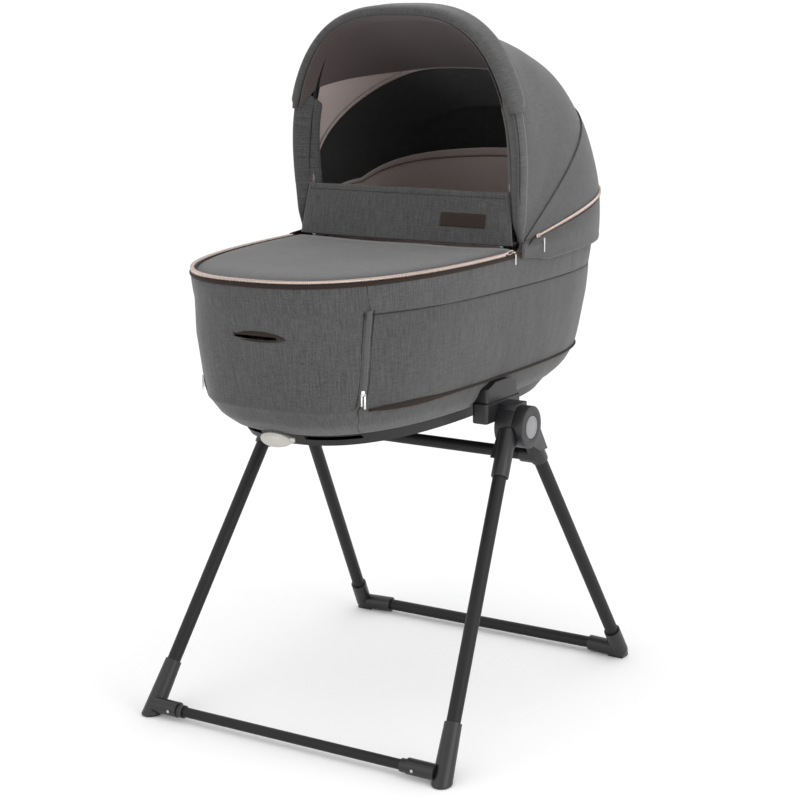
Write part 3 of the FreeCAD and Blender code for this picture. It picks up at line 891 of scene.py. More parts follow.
def hood_path(degrees, start, end):
    """Path over the hood in one plane; up is towards the foot end."""
    def path(u):
        turn = arch_turn(start + (end - start) * u)
        return ways(hood_point(degrees, turn), hood_point(degrees, turn, 1.0),
                    hood_point(degrees, turn, 0.0, 1.0))
    return path


def teeth(path, length, pitch, size, out, up):
    """Row of small blocks along a path whose length is in millimetres."""
    count = int(length / (pitch * 1000))
    bm = bmesh.new()
    for i in range(count):
        point, way_out, way_up = path((i + 0.5) / count)
        spot = Vector(point) + Vector(way_out) * out + Vector(way_up) * up
        turn = frame_matrix(way_out, way_up)
        spread = Matrix.Diagonal(Vector(size) / 1000).to_4x4()
        matrix = Matrix.Translation(place(*spot)) @ turn.to_4x4() @ spread
        bmesh.ops.create_cube(bm, size=1.0, matrix=matrix)
    return bm


# ---- operators: soft body ----
class PieceOperator:
    """Shared behaviour: execute() runs build()."""
    bl_options = {"REGISTER", "UNDO"}

    def execute(self, context):
        self.build()
        return {"FINISHED"}


# height and how far the cloth stands in at that height
BODY_ROWS = [
    (504.6, 3.2), (504.9, 1.0), (506.0, 0.1), (509, 0), (514, -0.3), (519, -0.4), (524, -0.4),
    (530, -0.3), (536, -0.2), (541, 0), (545, 0.5), (548, 1.0), (551, 0.5), (556, 0), (563, -0.4),
    (572, -0.8), (582, -1.0), (594, -1.1), (607, -1.2), (620, -1.2), (632, -1.1), (642, -1.0),
    (649, -0.9), (SLOT_Z, -0.9), (SLOT_Z + 0.6, -0.9), (661, -0.8), (668, -0.7), (675, -0.6),
    (681, -0.4), (685.5, -0.1), (688.4, 0.5), (689.6, 1.3), (690.8, 1.3), (692, 0.3), (695, -0.3),
    (701, -0.6), (709, -0.8), (718, -0.8), (727, -0.6), (735, -0.2), (741, 0.4), (744, 1.0),
]


class BASSINET_OT_body(PieceOperator, bpy.types.Operator):
    """Outer cloth of the tub, from its hem to the rim, with the carrying slot"""
    bl_idname = "bassinet.body"
    bl_label = "Body cloth"

    def build(self):
        last = len(BODY_ROWS) - 1
        slot_low = [z for z, _ in BODY_ROWS].index(SLOT_Z)

        def at(u, v):
            j = int(round(v * last))
            z, inset = BODY_ROWS[j]
            x, y = outline(z, u)
            side = 1.0 if y > -200 else smooth((abs(x) - corner_x(z) + 12) / 10)
            if 684 < z < 693 or 544 < z < 552:
                inset = inset * side - 0.4 * (1 - side)
            ox, oy = outward(z, u)
            ripple = noise.noise(Vector((x, y, z * 0.6)) / 55.0) * 1.3
            ripple += noise.noise(Vector((x, y, z * 0.25)) / 17.0) * 0.35
            calm = smooth((z - 506) / 14) * smooth((744 - z) / 10)
            out = -inset + ripple * calm
            height = sloped(z, y)
            if j in (slot_low, slot_low + 1) and y < -300:
                open_by = SLOT_HALF_Z * math.sqrt(max(0.0, 1 - ((x - SLOT_X) / SLOT_HALF_X) ** 2))
                height += open_by if j > slot_low else -open_by
            return x + ox * out, y + oy * out, height

        bm, flat = patch(384, last, at, (0, 10, 620))
        gone = []
        for face in bm.faces:
            centre = face.calc_center_median()
            if centre.y > -0.3 or abs(centre.x * 1000 - SLOT_X) > SLOT_HALF_X - 2:
                continue
            heights = [vert.co.z * 1000 for vert in face.verts]
            if min(heights) > SLOT_Z - 4.5 and max(heights) < SLOT_Z + 5.2:
                gone.append(face)
        bmesh.ops.delete(bm, geom=gone, context="FACES")
        band = cloth_material("Grey melange cloth, rim band", finishes().fabric * 1.08,
                              contrast=0.55, slub=1.0, patchy=0.3)
        for face in bm.faces:
            centre = face.calc_center_median()
            level = centre.z * 1000 - RIM_SLOPE * (centre.y - HUB_Y) * 1000 * 0.5
            foot_panel = centre.y < -0.2 and abs(centre.x) * 1000 < corner_x(SEAM_Z)
            face.material_index = 1 if level > SEAM_Z + 1 and not foot_panel else 0
        area = sum(face.calc_area() for face in bm.faces)
        body = thicken(shape("body_cloth", bm, [fabric(), band], "grey_fabric", "bassinet",
                             "side_panel", "lower_skirt"), 1.6)

        # painted shadow: thin dark cords along the seams stand for the shade in their grooves
        zip_share = share_at(SEAM_Z, corner_x(SEAM_Z), "x")
        lines = [swept(300, level_path(SEAM_Z + 0.2, zip_share, -zip_share),
                       oval(0.7, 0.55, 6, -0.9))]
        for side in (-1, 1):
            lines.append(swept(16, upright_path(side, 700, 741), oval(0.8, 0.5, 6, 0.1)))
            lines.append(swept(14, upright_path(side, 507, 555), oval(0.8, 0.5, 6, 0.1)))
        shape("body_seam_shadows", joined(*lines), painted_seam_shadow(), "grey_fabric", "bassinet")


class BASSINET_OT_trims(PieceOperator, bpy.types.Operator):
    """Brown piping, rim band, corner plackets and the carrying slot's lips"""
    bl_idname = "bassinet.trims"
    bl_label = "Trims"

    def build(self):
        start = share_at(PIPING_Z, corner_x(PIPING_Z) + 9, "x")
        length = outline_table(PIPING_Z, 0.0)[1]

        def swell(u):
            run = min(u, 1 - u) * 2 * start * length
            return 1.5 + 3.1 * math.exp(-((run - 85) / 75) ** 2) * smooth(run / 30)

        profile = changing_oval(0.9, lambda u: 1.9,
                                lambda u, s: swell(u) + (1.0 if s > 0 else 0.0))
        piping = swept(320, level_path(PIPING_Z, start, -start), profile)
        shape("piping_cord", piping, brown_trim(), "brown_trim", "bassinet", "piping")

        band = oval(4.2, 3.7, 14, -3.0, -2.9)
        first = share_at(RIM_Z, 24.0, "y")
        shape("rim_binding", swept(420, rim_path(first, 1 - first), band), brown_trim(),
              "brown_trim", "bassinet", "rim_band")

        light = cloth_material("Placket tape", finishes().fabric * 1.22, contrast=0.25, slub=0.25,
                               patchy=0.06, sheen=0.3, thread=0.0012, bump=0.3)
        tape = [(0.0, -4.6), (1.6, -4.2), (2.5, -2.6), (2.2, 0.0), (2.5, 2.6),
                (1.6, 4.2), (0.0, 4.6), (-1.2, 3.0), (-1.2, -3.0)]
        plackets = [swept(48, upright_path(side, 556, 697), tape) for side in (-1, 1)]
        shape("corner_plackets", joined(*plackets), light, "dark_zip", "bassinet", "corner_zips")
        # painted shadow: dark cords beside each placket stand for the shade in the gaps at its edges
        gaps = [swept(48, upright_path(side, 553, 697, shift), oval(0.7, 0.8, 6, 0.4))
                for side in (-1, 1) for shift in (-3.9, 3.9)]
        shape("placket_gap_shadows", joined(*gaps), painted_seam_shadow(), "dark_zip", "bassinet")

        def lip(up, swing, size_out, size_up):
            def path(u):
                run = 2 * u - 1
                x = SLOT_X + (SLOT_HALF_X + 2.5) * run
                taper = math.sqrt(max(0.0, 1 - run * run))
                z = SLOT_Z + swing * SLOT_HALF_Z * taper + up * taper
                half, foot, head, _, power = section(z)
                reach = (head - foot) / 2
                y = (head + foot) / 2 - reach * (1 - abs(x / half) ** power) ** (1 / power)
                return (x, y, z), (0, -1, 0), (0, 0, 1)

            def full(u):
                return math.sin(math.pi * min(max(u, 0.02), 0.98))

            profile = changing_oval(0.6, lambda u: size_out * (0.35 + 0.65 * full(u)),
                                    lambda u, s: size_up * (0.2 + 0.8 * full(u)))
            return swept(40, path, profile)

        lips = joined(lip(2.6, 1.0, 2.0, 3.4), lip(-0.9, -1.0, 1.5, 1.4))
        shape("handle_lips", lips, brown_trim(), "brown_trim", "bassinet", "handle_binding")


class BASSINET_OT_rim_zip(PieceOperator, bpy.types.Operator):
    """Champagne zip round the foot half of the rim, with its sliders"""
    bl_idname = "bassinet.rim_zip"
    bl_label = "Rim zip"

    def build(self):
        start = share_at(RIM_Z, RIM_END_Y, "y")
        end = 1 - share_at(RIM_Z, 6.0, "y")
        length = outline_table(RIM_Z, 0.0)[1] * (end - start)
        tape = swept(260, rim_path(start, end, 2.6, 6.5), oval(4.6, 1.6, 8))
        shape("rim_zip_tape", tape, brown_trim(), "gold_zip", "bassinet", "rim_zip")
        coil = swept(300, rim_path(start, end, 3.0, 3.4), oval(2.6, 2.3, 10))
        row = teeth(rim_path(start, end, 3.0, 3.4), length, sizes().tooth_pitch,
                    (1.4, 6.0, 5.2), 0.0, 0.1)
        shape("rim_zip_teeth", joined(coil, row), gold_metal(), "gold_zip", "bassinet")

        x, y = outline(RIM_Z, start - 0.006)
        turn = frame_matrix((1, 0, 0), (0, 0, 1))
        z = rim_height(y) + 4.0

        def ring(u):
            angle = 2 * math.pi * u
            point = (x - 1.5 + 1.6 * math.sin(angle), y + 11 * math.cos(angle),
                     z + 1.0 + 3.4 * math.sin(angle))
            return point, (0, math.cos(angle), math.sin(angle)), (1, 0, 0)

        slider = joined(swept(28, ring, oval(1.2, 1.4, 8)),
                        block((8, 5, 3.6), (x - 2.4, y - 9, z + 0.6), turn, 1.1),
                        block((6, 5, 3.0), (x - 1.6, y + 14, z), turn, 0.9))
        shape("rim_slider", slider, gold_metal(), "gold_zip", "bassinet")


def pull_shape(top, out, length, width, thick):
    """Hanging pull: a flat bar with a rounded end and a loop at its top."""
    turn = frame_matrix(out, (0, 0, 1))
    way = Vector(out).normalized()
    x, y, z = top
    bar = block((width, thick, length), (x, y, z - length / 2 - 1), turn, thick * 0.45, 3)

    def loop(u):
        angle = 2 * math.pi * u
        side = turn @ Vector((1, 0, 0))
        point = Vector(top) + side * (width * 0.42 * math.cos(angle))
        point += Vector((0, 0, 1)) * (2.4 * math.sin(angle))
        spread = side * math.cos(angle) + Vector((0, 0, 1)) * math.sin(angle)
        return tuple(point), tuple(spread), tuple(way)

    return joined(bar, swept(18, loop, oval(0.55, 0.7, 6)))


class BASSINET_OT_pulls(PieceOperator, bpy.types.Operator):
    """Sliders and hanging pulls of the corner, rim and hood zips"""
    bl_idname = "bassinet.pulls"
    bl_label = "Zip pulls"

    def build(self):
        for side, node in ((-1, "corner_pull_left"), (1, "corner_pull_right")):
            point, out, across = upright_path(side, 572, 573)(0)
            top = Vector(point) + Vector(out) * 4.0
            bm = pull_shape(tuple(top + Vector(across) * 2.2 * side), out, 19.0, 3.4, 1.3)
            shape(node + "_tab", bm, pull_metal(), "pull_metal", node, node)
            fixed = joined(
                block((6.5, 4.2, 9), tuple(Vector(point) + Vector(out) * 1.6 + Vector((0, 0, 3))),
                      frame_matrix(out, (0, 0, 1)), 1.3),
                pull_shape(tuple(top - Vector(across) * 2.4 * side - Vector(out) * 1.2), out,
                           15.0, 2.8, 1.1))
            shape(node + "_slider", fixed, pull_metal(), "pull_metal", "bassinet")
        for node, size in (("rim_pull", (13.0, 3.4, 1.3)), ("hood_pull", HOOD_PULL_SIZE)):
            low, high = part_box(node)
            top = ((low.x + high.x) * 500, ((low.y + high.y) / 2 - HUB_Y) * 1000,
                   high.z * 1000 - 2.5)
            shape(node + "_tab", pull_shape(top, (1, 0, 0), *size), pull_metal(), "pull_metal",
                  node, node)


class BASSINET_OT_apron(PieceOperator, bpy.types.Operator):
    """Cover over the foot half, padded along its edge and slightly hollow in the middle"""
    bl_idname = "bassinet.apron"
    bl_label = "Apron"

    def build(self):
        half, foot, head, _, power = section(RIM_Z)
        half -= APRON_INSET
        middle = (foot + head) / 2
        reach = (head - foot) / 2 - APRON_INSET
        depth = reach - middle + APRON_HEAD_Y

        def at(u, v):
            y = APRON_HEAD_Y - depth * math.sin(v * math.pi / 2) ** (2 / power)
            y = max(y, middle - reach)
            wide = half * max(0.0, 1 - (abs(y - middle) / reach) ** power) ** (1 / power)
            x = wide * (0.65 * math.sin((u - 0.5) * math.pi) + 0.7 * (u - 0.5))
            size = (abs(x / half) ** power + (abs(y - middle) / reach) ** power) ** (1 / power)
            edge = max(0.0, 1 - size) * half
            z = rim_height(y) + 0.8 + 6.2 * (1 - math.exp(-edge / 7.0))
            z -= 2.6 * smooth(edge / 120) * smooth((y + 420) / 120)
            z += 0.9 * noise.noise(Vector((x, y, 3.0)) / 90.0) * smooth(edge / 30)
            return x, y, z

        cloth("apron_cloth", 96, 110, at, (0, -200, 600), fabric(), "grey_fabric",
              ["rim_zip_tape"], 2.0, "bassinet", "apron_cover")


class BASSINET_OT_flap(PieceOperator, bpy.types.Operator):
    """Upright wind flap with a hemmed top edge and a plain woven patch"""
    bl_idname = "bassinet.flap"
    bl_label = "Wind flap"

    def build(self):
        low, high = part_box("wind_flap")
        base_z, top_z = low.z * 1000 + 0.5, high.z * 1000
        rise = top_z - base_z

        def front(x, h):
            bow = 7.0 * (1 - (x / 200) ** 2) * (1 - h / rise)
            return 9.0 + 10.0 * h / rise - bow

        def at(u, v):
            h = v * rise
            half = 199.0 - 11.5 * v
            x = half * (2 * u - 1)
            y = front(x, h) + 0.8 * noise.noise(Vector((x, h, 5.0)) / 60.0)
            y += 0.5 * math.exp(-((h - rise + 9) / 1.4) ** 2)
            y += 2.6 * (1 - smooth((1 - abs(2 * u - 1)) * 14))
            z = base_z + h + 1.2 * noise.noise(Vector((x, 1.0, 2.0)) / 80.0) * v
            if v > 0.985:
                y += 0.8
            return x, y, z

        cloth("flap_cloth", 100, 40, at, (0, 200, 790), fabric(), "grey_fabric",
              ["apron_cloth"], 4.0, "wind_flap", "wind_flap", held="hung")

        def label(u, v):
            x = 70.0 + 82.0 * u
            h = 25.5 + 22.0 * v
            return x, front(x, h) - 0.9, base_z + h

        plain = cloth_material("Woven label", finishes().brown * 1.25, contrast=0.2, slub=0.1,
                               patchy=0.05, sheen=0.3, thread=0.0007, bump=0.25)
        cloth("plain_label", 24, 8, label, (100, 200, 790), plain, "brown_trim",
              ["flap_cloth"], 0.9, "wind_flap", held="laid")

        def stitch(u):
            x = -184 + 368 * u
            return (x, front(x, rise - 9) - 0.2, top_z - 9), (0, -1, 0), (0, 0, 1)

        thread = cloth_material("Stitch thread", finishes().fabric * 0.6, contrast=0.2, slub=0.2,
                                patchy=0.1, sheen=0.1)
        shape("flap_stitches", teeth(stitch, 368, 0.004, (2.8, 0.7, 0.7), 0.1, 0),
              thread, "grey_fabric", "wind_flap")


class BASSINET_OT_hood(PieceOperator, bpy.types.Operator):
    """Hood cloth: front sheet, rear panel, edge bands, visor and skirt"""
    bl_idname = "bassinet.hood"
    bl_label = "Hood"

    def build(self):
        def front_sheet(u, v):
            degrees = MIDDLE_DEG - 0.5 + (92.0 - MIDDLE_DEG) * v
            turn = arch_turn(u)
            sag = -3.0 * math.sin(math.pi * v) * smooth((math.sin(turn) - 0.25) / 0.5)
            fold = 1.1 * noise.noise(Vector((u * 9, v * 2.2, 7.0))) * math.sin(math.pi * v)
            return hood_point(degrees, turn, -2.2 + sag + fold)

        cloth("hood_front_cloth", 176, 60, front_sheet, (0, 90, 760), fabric(), "grey_fabric",
              ["hood_bow_front", "hood_bow_middle"], 1.3, across_bows,
              "hood_front_panel", "hood_middle_panel")

        def rear_panel(u, v):
            degrees = ZIP_DEG + (MIDDLE_DEG + 1.2 - ZIP_DEG) * v
            turn = arch_turn(u)
            puff = 1.6 * math.sin(math.pi * v) * smooth(math.sin(turn) / 0.5)
            puff += 0.8 * noise.noise(Vector((u * 8, v * 2.0, 3.0))) * math.sin(math.pi * v)
            return hood_point(degrees, turn, puff + 0.3)

        cloth("hood_rear_cloth", 176, 24, rear_panel, (0, 90, 760), fabric(), "grey_fabric",
              ["hood_bow_middle"], 1.3, from_tub, "hood_rear_panel")

        def skirt(u, v):
            turn = arch_turn(u)
            top = hood_point(ZIP_DEG - 0.6, turn, 0.4)
            c, s = math.cos(turn), math.sin(turn)
            half, foot, head, _, _ = section(RIM_Z)
            power = 3.3
            x = (half + 1.8) * signed_power(c, 2 / power)
            y = (foot + head) / 2 + ((head - foot) / 2 + 1.0) * s ** (2 / power)
            forward = 15.0 * max(0.0, 1 - min(u, 1 - u) / 0.03)
            drop = SKIRT_DROP - 12.0 * (1 - smooth(min(u, 1 - u) / 0.06))
            low = (x, y - forward, rim_height(y) - drop)
            high = (top[0], top[1] - forward * 0.6, top[2] + 1.0)
            bulge = 1.6 * math.sin(math.pi * v) + (0.8 if 0.0 < v < 0.12 else 0.0)
            held = min(0.85, (drop + 5.0) / max(high[2] - low[2], 1.0))
            lean = smooth((v - held) / (1 - held)) if v > held else 0.0
            return (low[0] + (high[0] - low[0]) * lean + bulge * c,
                    low[1] + (high[1] - low[1]) * lean + bulge * s,
                    low[2] + (high[2] - low[2]) * v)

        cloth("hood_skirt_cloth", 220, 16, skirt, (0, 30, 760), fabric(), "grey_fabric",
              ["rim_binding"], 1.5, "bassinet", "hood_skirt", held="hung")

        # edge band that wraps round the front bow: (out, ahead), deeper ones reach inwards
        wrap = [(-0.4, -14), (0.8, -9), (1.0, -3), (1.0, 4), (0.6, 10), (-0.8, 14.0), (-3.2, 15.6),
                (-6.0, 14.6), (-11, 10.8), (-16, 6.0), (-22, 0.5), (-28, -5.0), (-33, -10.0),
                (-35.5, -13.5), (-34.5, -16)]

        def band(u, v):
            turn = arch_turn(u)
            out, ahead = wrap[int(round(v * (len(wrap) - 1)))]
            r = REACH_FRONT * math.sin(turn) ** (2 / HOOD_POWER)
            width = 0.10 + 0.90 * smooth((r - 8) / 75)
            width *= 1 - 0.72 * smooth((r - 220) / 22)
            if out < -3:
                out, ahead = -3 + (out + 3) * width, 15.6 + (ahead - 15.6) * width
            ahead *= 0.35 + 0.65 * smooth(r / 45)
            return hood_point(FRONT_DEG, turn, out, ahead)

        cloth("hood_edge_band", 200, len(wrap) - 1, band, (0, 90, 760), fabric(),
              "grey_fabric", ["hood_bow_front"], 1.2, across_bows)

        # painted shadow: a dark cord along the back edge of the edge band stands for the shade in the small gap
        # there
        def seam(u):
            turn = arch_turn(0.03 + 0.94 * u)
            near = 12.5 * smooth(0.3 + min(u, 1 - u) / 0.1)
            return ways(hood_point(FRONT_DEG, turn, -0.2, near),
                        hood_point(FRONT_DEG, turn, 0.8, near),
                        hood_point(FRONT_DEG, turn, -0.2, near + 1))

        shape("hood_edge_seam_shadow", swept(160, seam, oval(0.8, 0.9, 6)), painted_seam_shadow(), "grey_fabric",
              across_bows)

        tip = turn_at(FRONT_DEG, VISOR_TIP_R)
        first, last = share_of_turn(tip), 1 - share_of_turn(tip)
        roll = [(0.2, -30), (1.4, -27), (2.4, -18), (2.6, -8), (2.6, 2), (2.4, 11), (1.4, 18),
                (-0.8, 23), (-4.2, 25.6), (-8.2, 26), (-12, 24), (-14.2, 19.5), (-14.6, 12),
                (-14.0, 4)]

        def visor(u, v):
            k = int(round(v * (len(roll) - 1)))
            out, ahead = roll[k]
            turn = arch_turn(first + (last - first) * u)
            near = min(u, 1 - u)
            rise = smooth(near / 0.035)
            crown = smooth(near / 0.36)
            pleat = 0.7 * math.sin(u * 260) * (1 - smooth(near / 0.05))
            if k > 1:
                out = out + 3.0 * (1 - crown) - 1.6 * crown * (out > -3) + pleat
            ahead = 2 + (ahead - 2) * (0.72 + 0.28 * rise)
            return hood_point(FRONT_DEG, turn, out * (0.8 + 0.2 * rise), ahead)

        cloth("visor_cloth", 150, len(roll) - 1, visor, (0, 60, 800), fabric(),
              "grey_fabric", ["hood_bow_front"], 2.0, across_bows, "visor")


class BASSINET_OT_hood_lining(PieceOperator, bpy.types.Operator):
    """Inside of the hood: brown front lining, beige linings, tapes and black net"""
    bl_idname = "bassinet.hood_lining"
    bl_label = "Hood lining"

    def build(self):
        tones = finishes()
        brown = cloth_material("Brown hood lining", tones.lining, contrast=0.12, slub=0.08,
                               patchy=0.06, sheen=0.15, thread=0.0008, bump=0.15)
        beige = cloth_material("Beige hood lining", tones.beige, contrast=0.12, slub=0.1,
                               patchy=0.08, sheen=0.15, thread=0.0009, bump=0.2)
        # painted light: a copy of the beige lining made 10% lighter, to make up for the dim light at the head end
        # inside the hood
        lightened_beige = cloth_material("Beige head lining", tones.beige * 1.1, contrast=0.14, slub=0.1,
                                patchy=0.1, sheen=0.15, thread=0.0009, bump=0.2)
        net = ribbed_material("Black net", (0.002, 0.002, 0.002), (0.007, 0.007, 0.007),
                              pitch=0.0014, net=1.0)
        tape = ribbed_material("Lining tape", tones.beige * 0.75, tones.beige * 1.1, pitch=0.0011)
        inside = (0, 150, 700)
        limit, tip = 0.64 * math.pi / 2 - 0.004, math.pi / 2 - turn_at(FRONT_DEG, VISOR_TIP_R + 4)

        def brown_at(u, v):
            spot = v * 1.3 - 0.3
            spot = spot / 0.3 if spot < 0 else spot
            reach = limit + (tip - limit) * max(0.0, -spot)
            turn = math.pi / 2 - reach + 2 * reach * u
            return lining_point(turn, spot if spot < 0 else spot * brown_edge(turn), 1.4)

        cloth("hood_brown_lining", 110, 39, brown_at, inside, brown, "brown_lining",
              ["hood_bow_front"], 0.8, across_bows, "visor_lining")

        def beige_at(u, v):
            turn = arch_turn(0.02 + 0.96 * u)
            low = 0.0 if off_centre(turn) > 0.6 else max(0.0, brown_edge(turn) - 0.05)
            high = max(mesh_top(turn) + 0.008, low + 0.004)
            return lining_point(turn, low + (high - low) * v)

        cloth("hood_beige_lining", 150, 18, beige_at, inside, beige, "beige_lining",
              ["hood_bow_front"], 0.8, across_bows)

        def net_at(u, v):
            turn = arch_turn(0.05 + 0.90 * u)
            low, high = mesh_top(turn) - 0.01, mesh_bottom(turn) + 0.012
            return lining_point(turn, low + (high - low) * v, 1.2)

        cloth("hood_net", 150, 40, net_at, inside, net, "black_mesh", ["hood_bow_middle"], 0.6,
              across_bows, "mesh_window")

        def lower_at(u, v):
            turn = arch_turn(0.04 + 0.92 * u)
            low = mesh_bottom(turn)
            return lining_point(turn, low + (2.9 - low) * v, 3.0)

        cloth("hood_head_lining", 150, 20, lower_at, inside, lightened_beige, "beige_lining",
              ["tub_wall"], 0.8, "bassinet", "hood_lining")

        def tape_sheet(name, edge, shift, extra, carrier):
            def tape_at(u, v):
                turn = arch_turn(0.06 + 0.88 * u)
                room = 1.0
                if shift < 0:
                    room = min(1.0, max(0.02, (edge(turn) - brown_edge(turn)) / -shift))
                return lining_point(turn, edge(turn) + shift * room * (v - 0.1), extra)
            cloth(name, 150, 4, tape_at, inside, tape, "beige_lining", ["hood_net"], 0.8, carrier)

        tape_sheet("hood_upper_tape", mesh_top, -0.045, 2.0, across_bows)
        tape_sheet("hood_lower_tape", mesh_bottom, 0.10, 4.2, "bassinet")

        def ridge(edge, shift, extra, first, last):
            def path(u):
                turn = arch_turn(first + (last - first) * u)
                spot = edge(turn) + shift
                depth = extra - (2.4 if shift < 0 and spot < brown_edge(turn) else 0.0)
                point, out, way = ways(lining_point(turn, spot, depth),
                                       lining_point(turn, spot, depth - 1),
                                       lining_point(turn, spot + 0.005, depth))
                return point, tuple(Vector(out).normalized()), tuple(Vector(way).normalized())
            return swept(150, path, oval(0.8, 0.9, 6))

        dark = cloth_material("Lining piping", tones.beige * 0.3, contrast=0.2, slub=0.1,
                              patchy=0.1, sheen=0.1)
        shape("hood_lining_piping", ridge(mesh_bottom, 0.095, 5.4, 0.06, 0.94), dark,
              "beige_lining", "bassinet")
        shape("hood_tape_stitches", ridge(mesh_top, -0.034, 3.0, 0.07, 0.93), dark,
              "beige_lining", across_bows)


class BASSINET_OT_hood_zip(PieceOperator, bpy.types.Operator):
    """Champagne zip over the hood's rear, its brown tape and its sliders"""
    bl_idname = "bassinet.hood_zip"
    bl_label = "Hood zip"

    def build(self):
        low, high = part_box("hood_pull")
        slider_y = ((low.y + high.y) / 2 - HUB_Y) * 1000
        turn = turn_at(ZIP_DEG, (slider_y - PIVOT_Y) / math.cos(math.radians(ZIP_DEG)))
        first = share_of_turn(turn)
        last = 1 - first
        tape = swept(220, hood_path(ZIP_DEG - 0.15, first, last), oval(1.3, 4.4, 10, 0.6, -2.6))
        shape("hood_zip_tape", tape, brown_trim(), "dark_zip", "bassinet", "hood_zip")
        coil = swept(240, hood_path(ZIP_DEG, first, last), oval(1.5, 2.3, 10, 1.6, 0.6))
        row = teeth(hood_path(ZIP_DEG, first, last), HOOD_ZIP_LENGTH, sizes().tooth_pitch,
                    (1.3, 3.4, 5.4), 1.6, 0.6)
        shape("hood_zip_teeth", joined(coil, row), gold_metal(), "gold_zip", "bassinet")

        pieces = []
        lines = []
        for side in (-1, 1):
            x, y, z = hood_point(ZIP_DEG, turn)
            around = frame_matrix((side, 0, 0), (0, -0.15, 1))
            pieces.append(block((12, 4.6, 7.5), (side * (x + 2.0), y + 1, z + 1.5), around, 1.3))
            pieces.append(block((6, 3.0, 4.0), (side * (x + 4.4), y + 1, z + 1.0), around, 0.9))
            if side < 0:
                pieces.append(pull_shape((side * (x + 5.0), y, z - 0.5), (side, 0, 0),
                                         *HOOD_PULL_SIZE))

            def drop(u, side=side, y=y, z=z, x=x):
                f = smooth(u)
                py = y + (22.0 - y) * u
                pz = z + 0.5 + (rim_height(py) + 5.5 - z) * f
                px = x + 0.8 + (216.0 - x) * f
                return (side * px, py, pz), (side, 0, 0), (0, 0, 1)

            lines.append(swept(24, drop, oval(1.5, 1.7, 8)))
        shape("hood_sliders", joined(*pieces), gold_metal(), "gold_zip", "bassinet")
        shape("hood_base_cord", joined(*lines), brown_trim(), "brown_trim", "bassinet")


class BASSINET_OT_inside(PieceOperator, bpy.types.Operator):
    """Tub lining and the puffed mattress"""
    bl_idname = "bassinet.inside"
    bl_label = "Inside"

    def build(self):
        levels = [517.5, 530, 550, 575, 600, 625, 650, 675, 700, 715, 728, 738, 743.5]

        def at(u, v):
            j = int(round(v * (len(levels) - 1)))
            z = levels[j]
            x, y = outline(z, u, 8.2)
            ox, oy = outward(z, u)
            ripple = -abs(noise.noise(Vector((x, y, z * 0.3)) / 45.0)) * 1.6
            return x + ox * ripple, y + oy * ripple, sloped(z, y)

        quilt = cloth_material("Tub lining", finishes().beige, contrast=0.14, slub=0.2, patchy=0.1,
                               sheen=0.2)
        bm, flat = patch(256, len(levels) - 1, at, (0, 10, 620))
        centres = {face: face.calc_center_median() for face in bm.faces}
        slot = [face for face, spot in centres.items()
                if spot.y < -0.3 and abs(spot.x) < 0.04 and 0.645 < spot.z < 0.665]
        bmesh.ops.delete(bm, geom=slot, context="FACES")
        lining = thicken(shape("tub_inner_lining", bm, quilt, "beige_lining", "bassinet",
                               "tub_lining"), 1.0)
        self.mattress()

    def mattress(self):
        low_z, high_z = PAD_LOW.z * 1000 + 1.5, PAD_HIGH.z * 1000 - 2.5
        foot, head = (PAD_LOW.y - HUB_Y) * 1000 + 4, (PAD_HEAD_Y - HUB_Y) * 1000 - 4
        half = PAD_HIGH.x * 1000 - 4
        levels = [(0.0, low_z, 5.0), (0.0, low_z, 5.0), (1.0, low_z, 3.0), (1.0, low_z + 7, 0.5),
                  (1.0, (low_z + high_z) / 2, 0.0), (1.0, high_z - 7, 0.5), (1.0, high_z, 4.0),
                  (0.55, high_z + 0.5, 4.0), (0.0, high_z + 0.5, 4.0)]

        def at(u, v):
            share, z, inset = levels[int(round(v * (len(levels) - 1)))]
            angle = 2 * math.pi * u
            c, s = math.cos(angle), math.sin(angle)
            x = (half - inset) * signed_power(c, 0.72) * share
            y = (foot + head) / 2 + ((head - foot) / 2 - inset) * signed_power(s, 0.72) * share
            return x, y, z

        bm, _ = patch(96, len(levels) - 1, at)
        cotton = cloth_material("Mattress cotton", (0.62, 0.60, 0.57), contrast=0.1, slub=0.15,
                                patchy=0.06, sheen=0.3, thread=0.0011, bump=0.3, object_space=True)
        pad = make_object("mattress_pad", bm, cotton)
        bpy.context.view_layer.objects.active = pad
        remesh = pad.modifiers.new("Even faces", "REMESH")
        remesh.mode = "VOXEL"
        remesh.voxel_size = 0.0085
        self.settle(pad)
        self.puff(pad)
        for polygon in pad.data.polygons:
            polygon.use_smooth = True
        finer = pad.modifiers.new("Smooth", "SUBSURF")
        finer.levels = finer.render_levels = 1
        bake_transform(pad)
        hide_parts("mattress_foot", "mattress_head")

    @staticmethod
    def settle(obj):
        """Applies the object's modifiers to its mesh."""
        graph = bpy.context.evaluated_depsgraph_get()
        mesh = bpy.data.meshes.new_from_object(obj.evaluated_get(graph))
        obj.modifiers.clear()
        obj.data = mesh

    @staticmethod
    def puff(obj):
        """Swells the pad with cloth pressure, and caps how far each point may move."""
        rest = [vert.co.copy() for vert in obj.data.vertices]
        swell = obj.modifiers.new("Cloth", "CLOTH")
        swell.settings.use_pressure = True
        swell.settings.uniform_pressure_force = 4.0
        swell.settings.effector_weights.gravity = 0.0
        swell.settings.quality = 4
        swell.point_cache.frame_start = 1
        swell.point_cache.frame_end = PUFF_FRAMES
        scene = bpy.context.scene
        for step in range(PUFF_FRAMES):
            scene.frame_set(step + 1)
        BASSINET_OT_inside.settle(obj)
        cap = sizes().mattress_cap
        for vert, start in zip(obj.data.vertices, rest):
            move = vert.co - start
            if move.length > cap:
                move *= cap / move.length
            down = min(move.z, 0.0) if start.z < PAD_LOW.z + 0.008 else 0.0
            vert.co = start + move - Vector((0, 0, down))
        scene.frame_set(1)


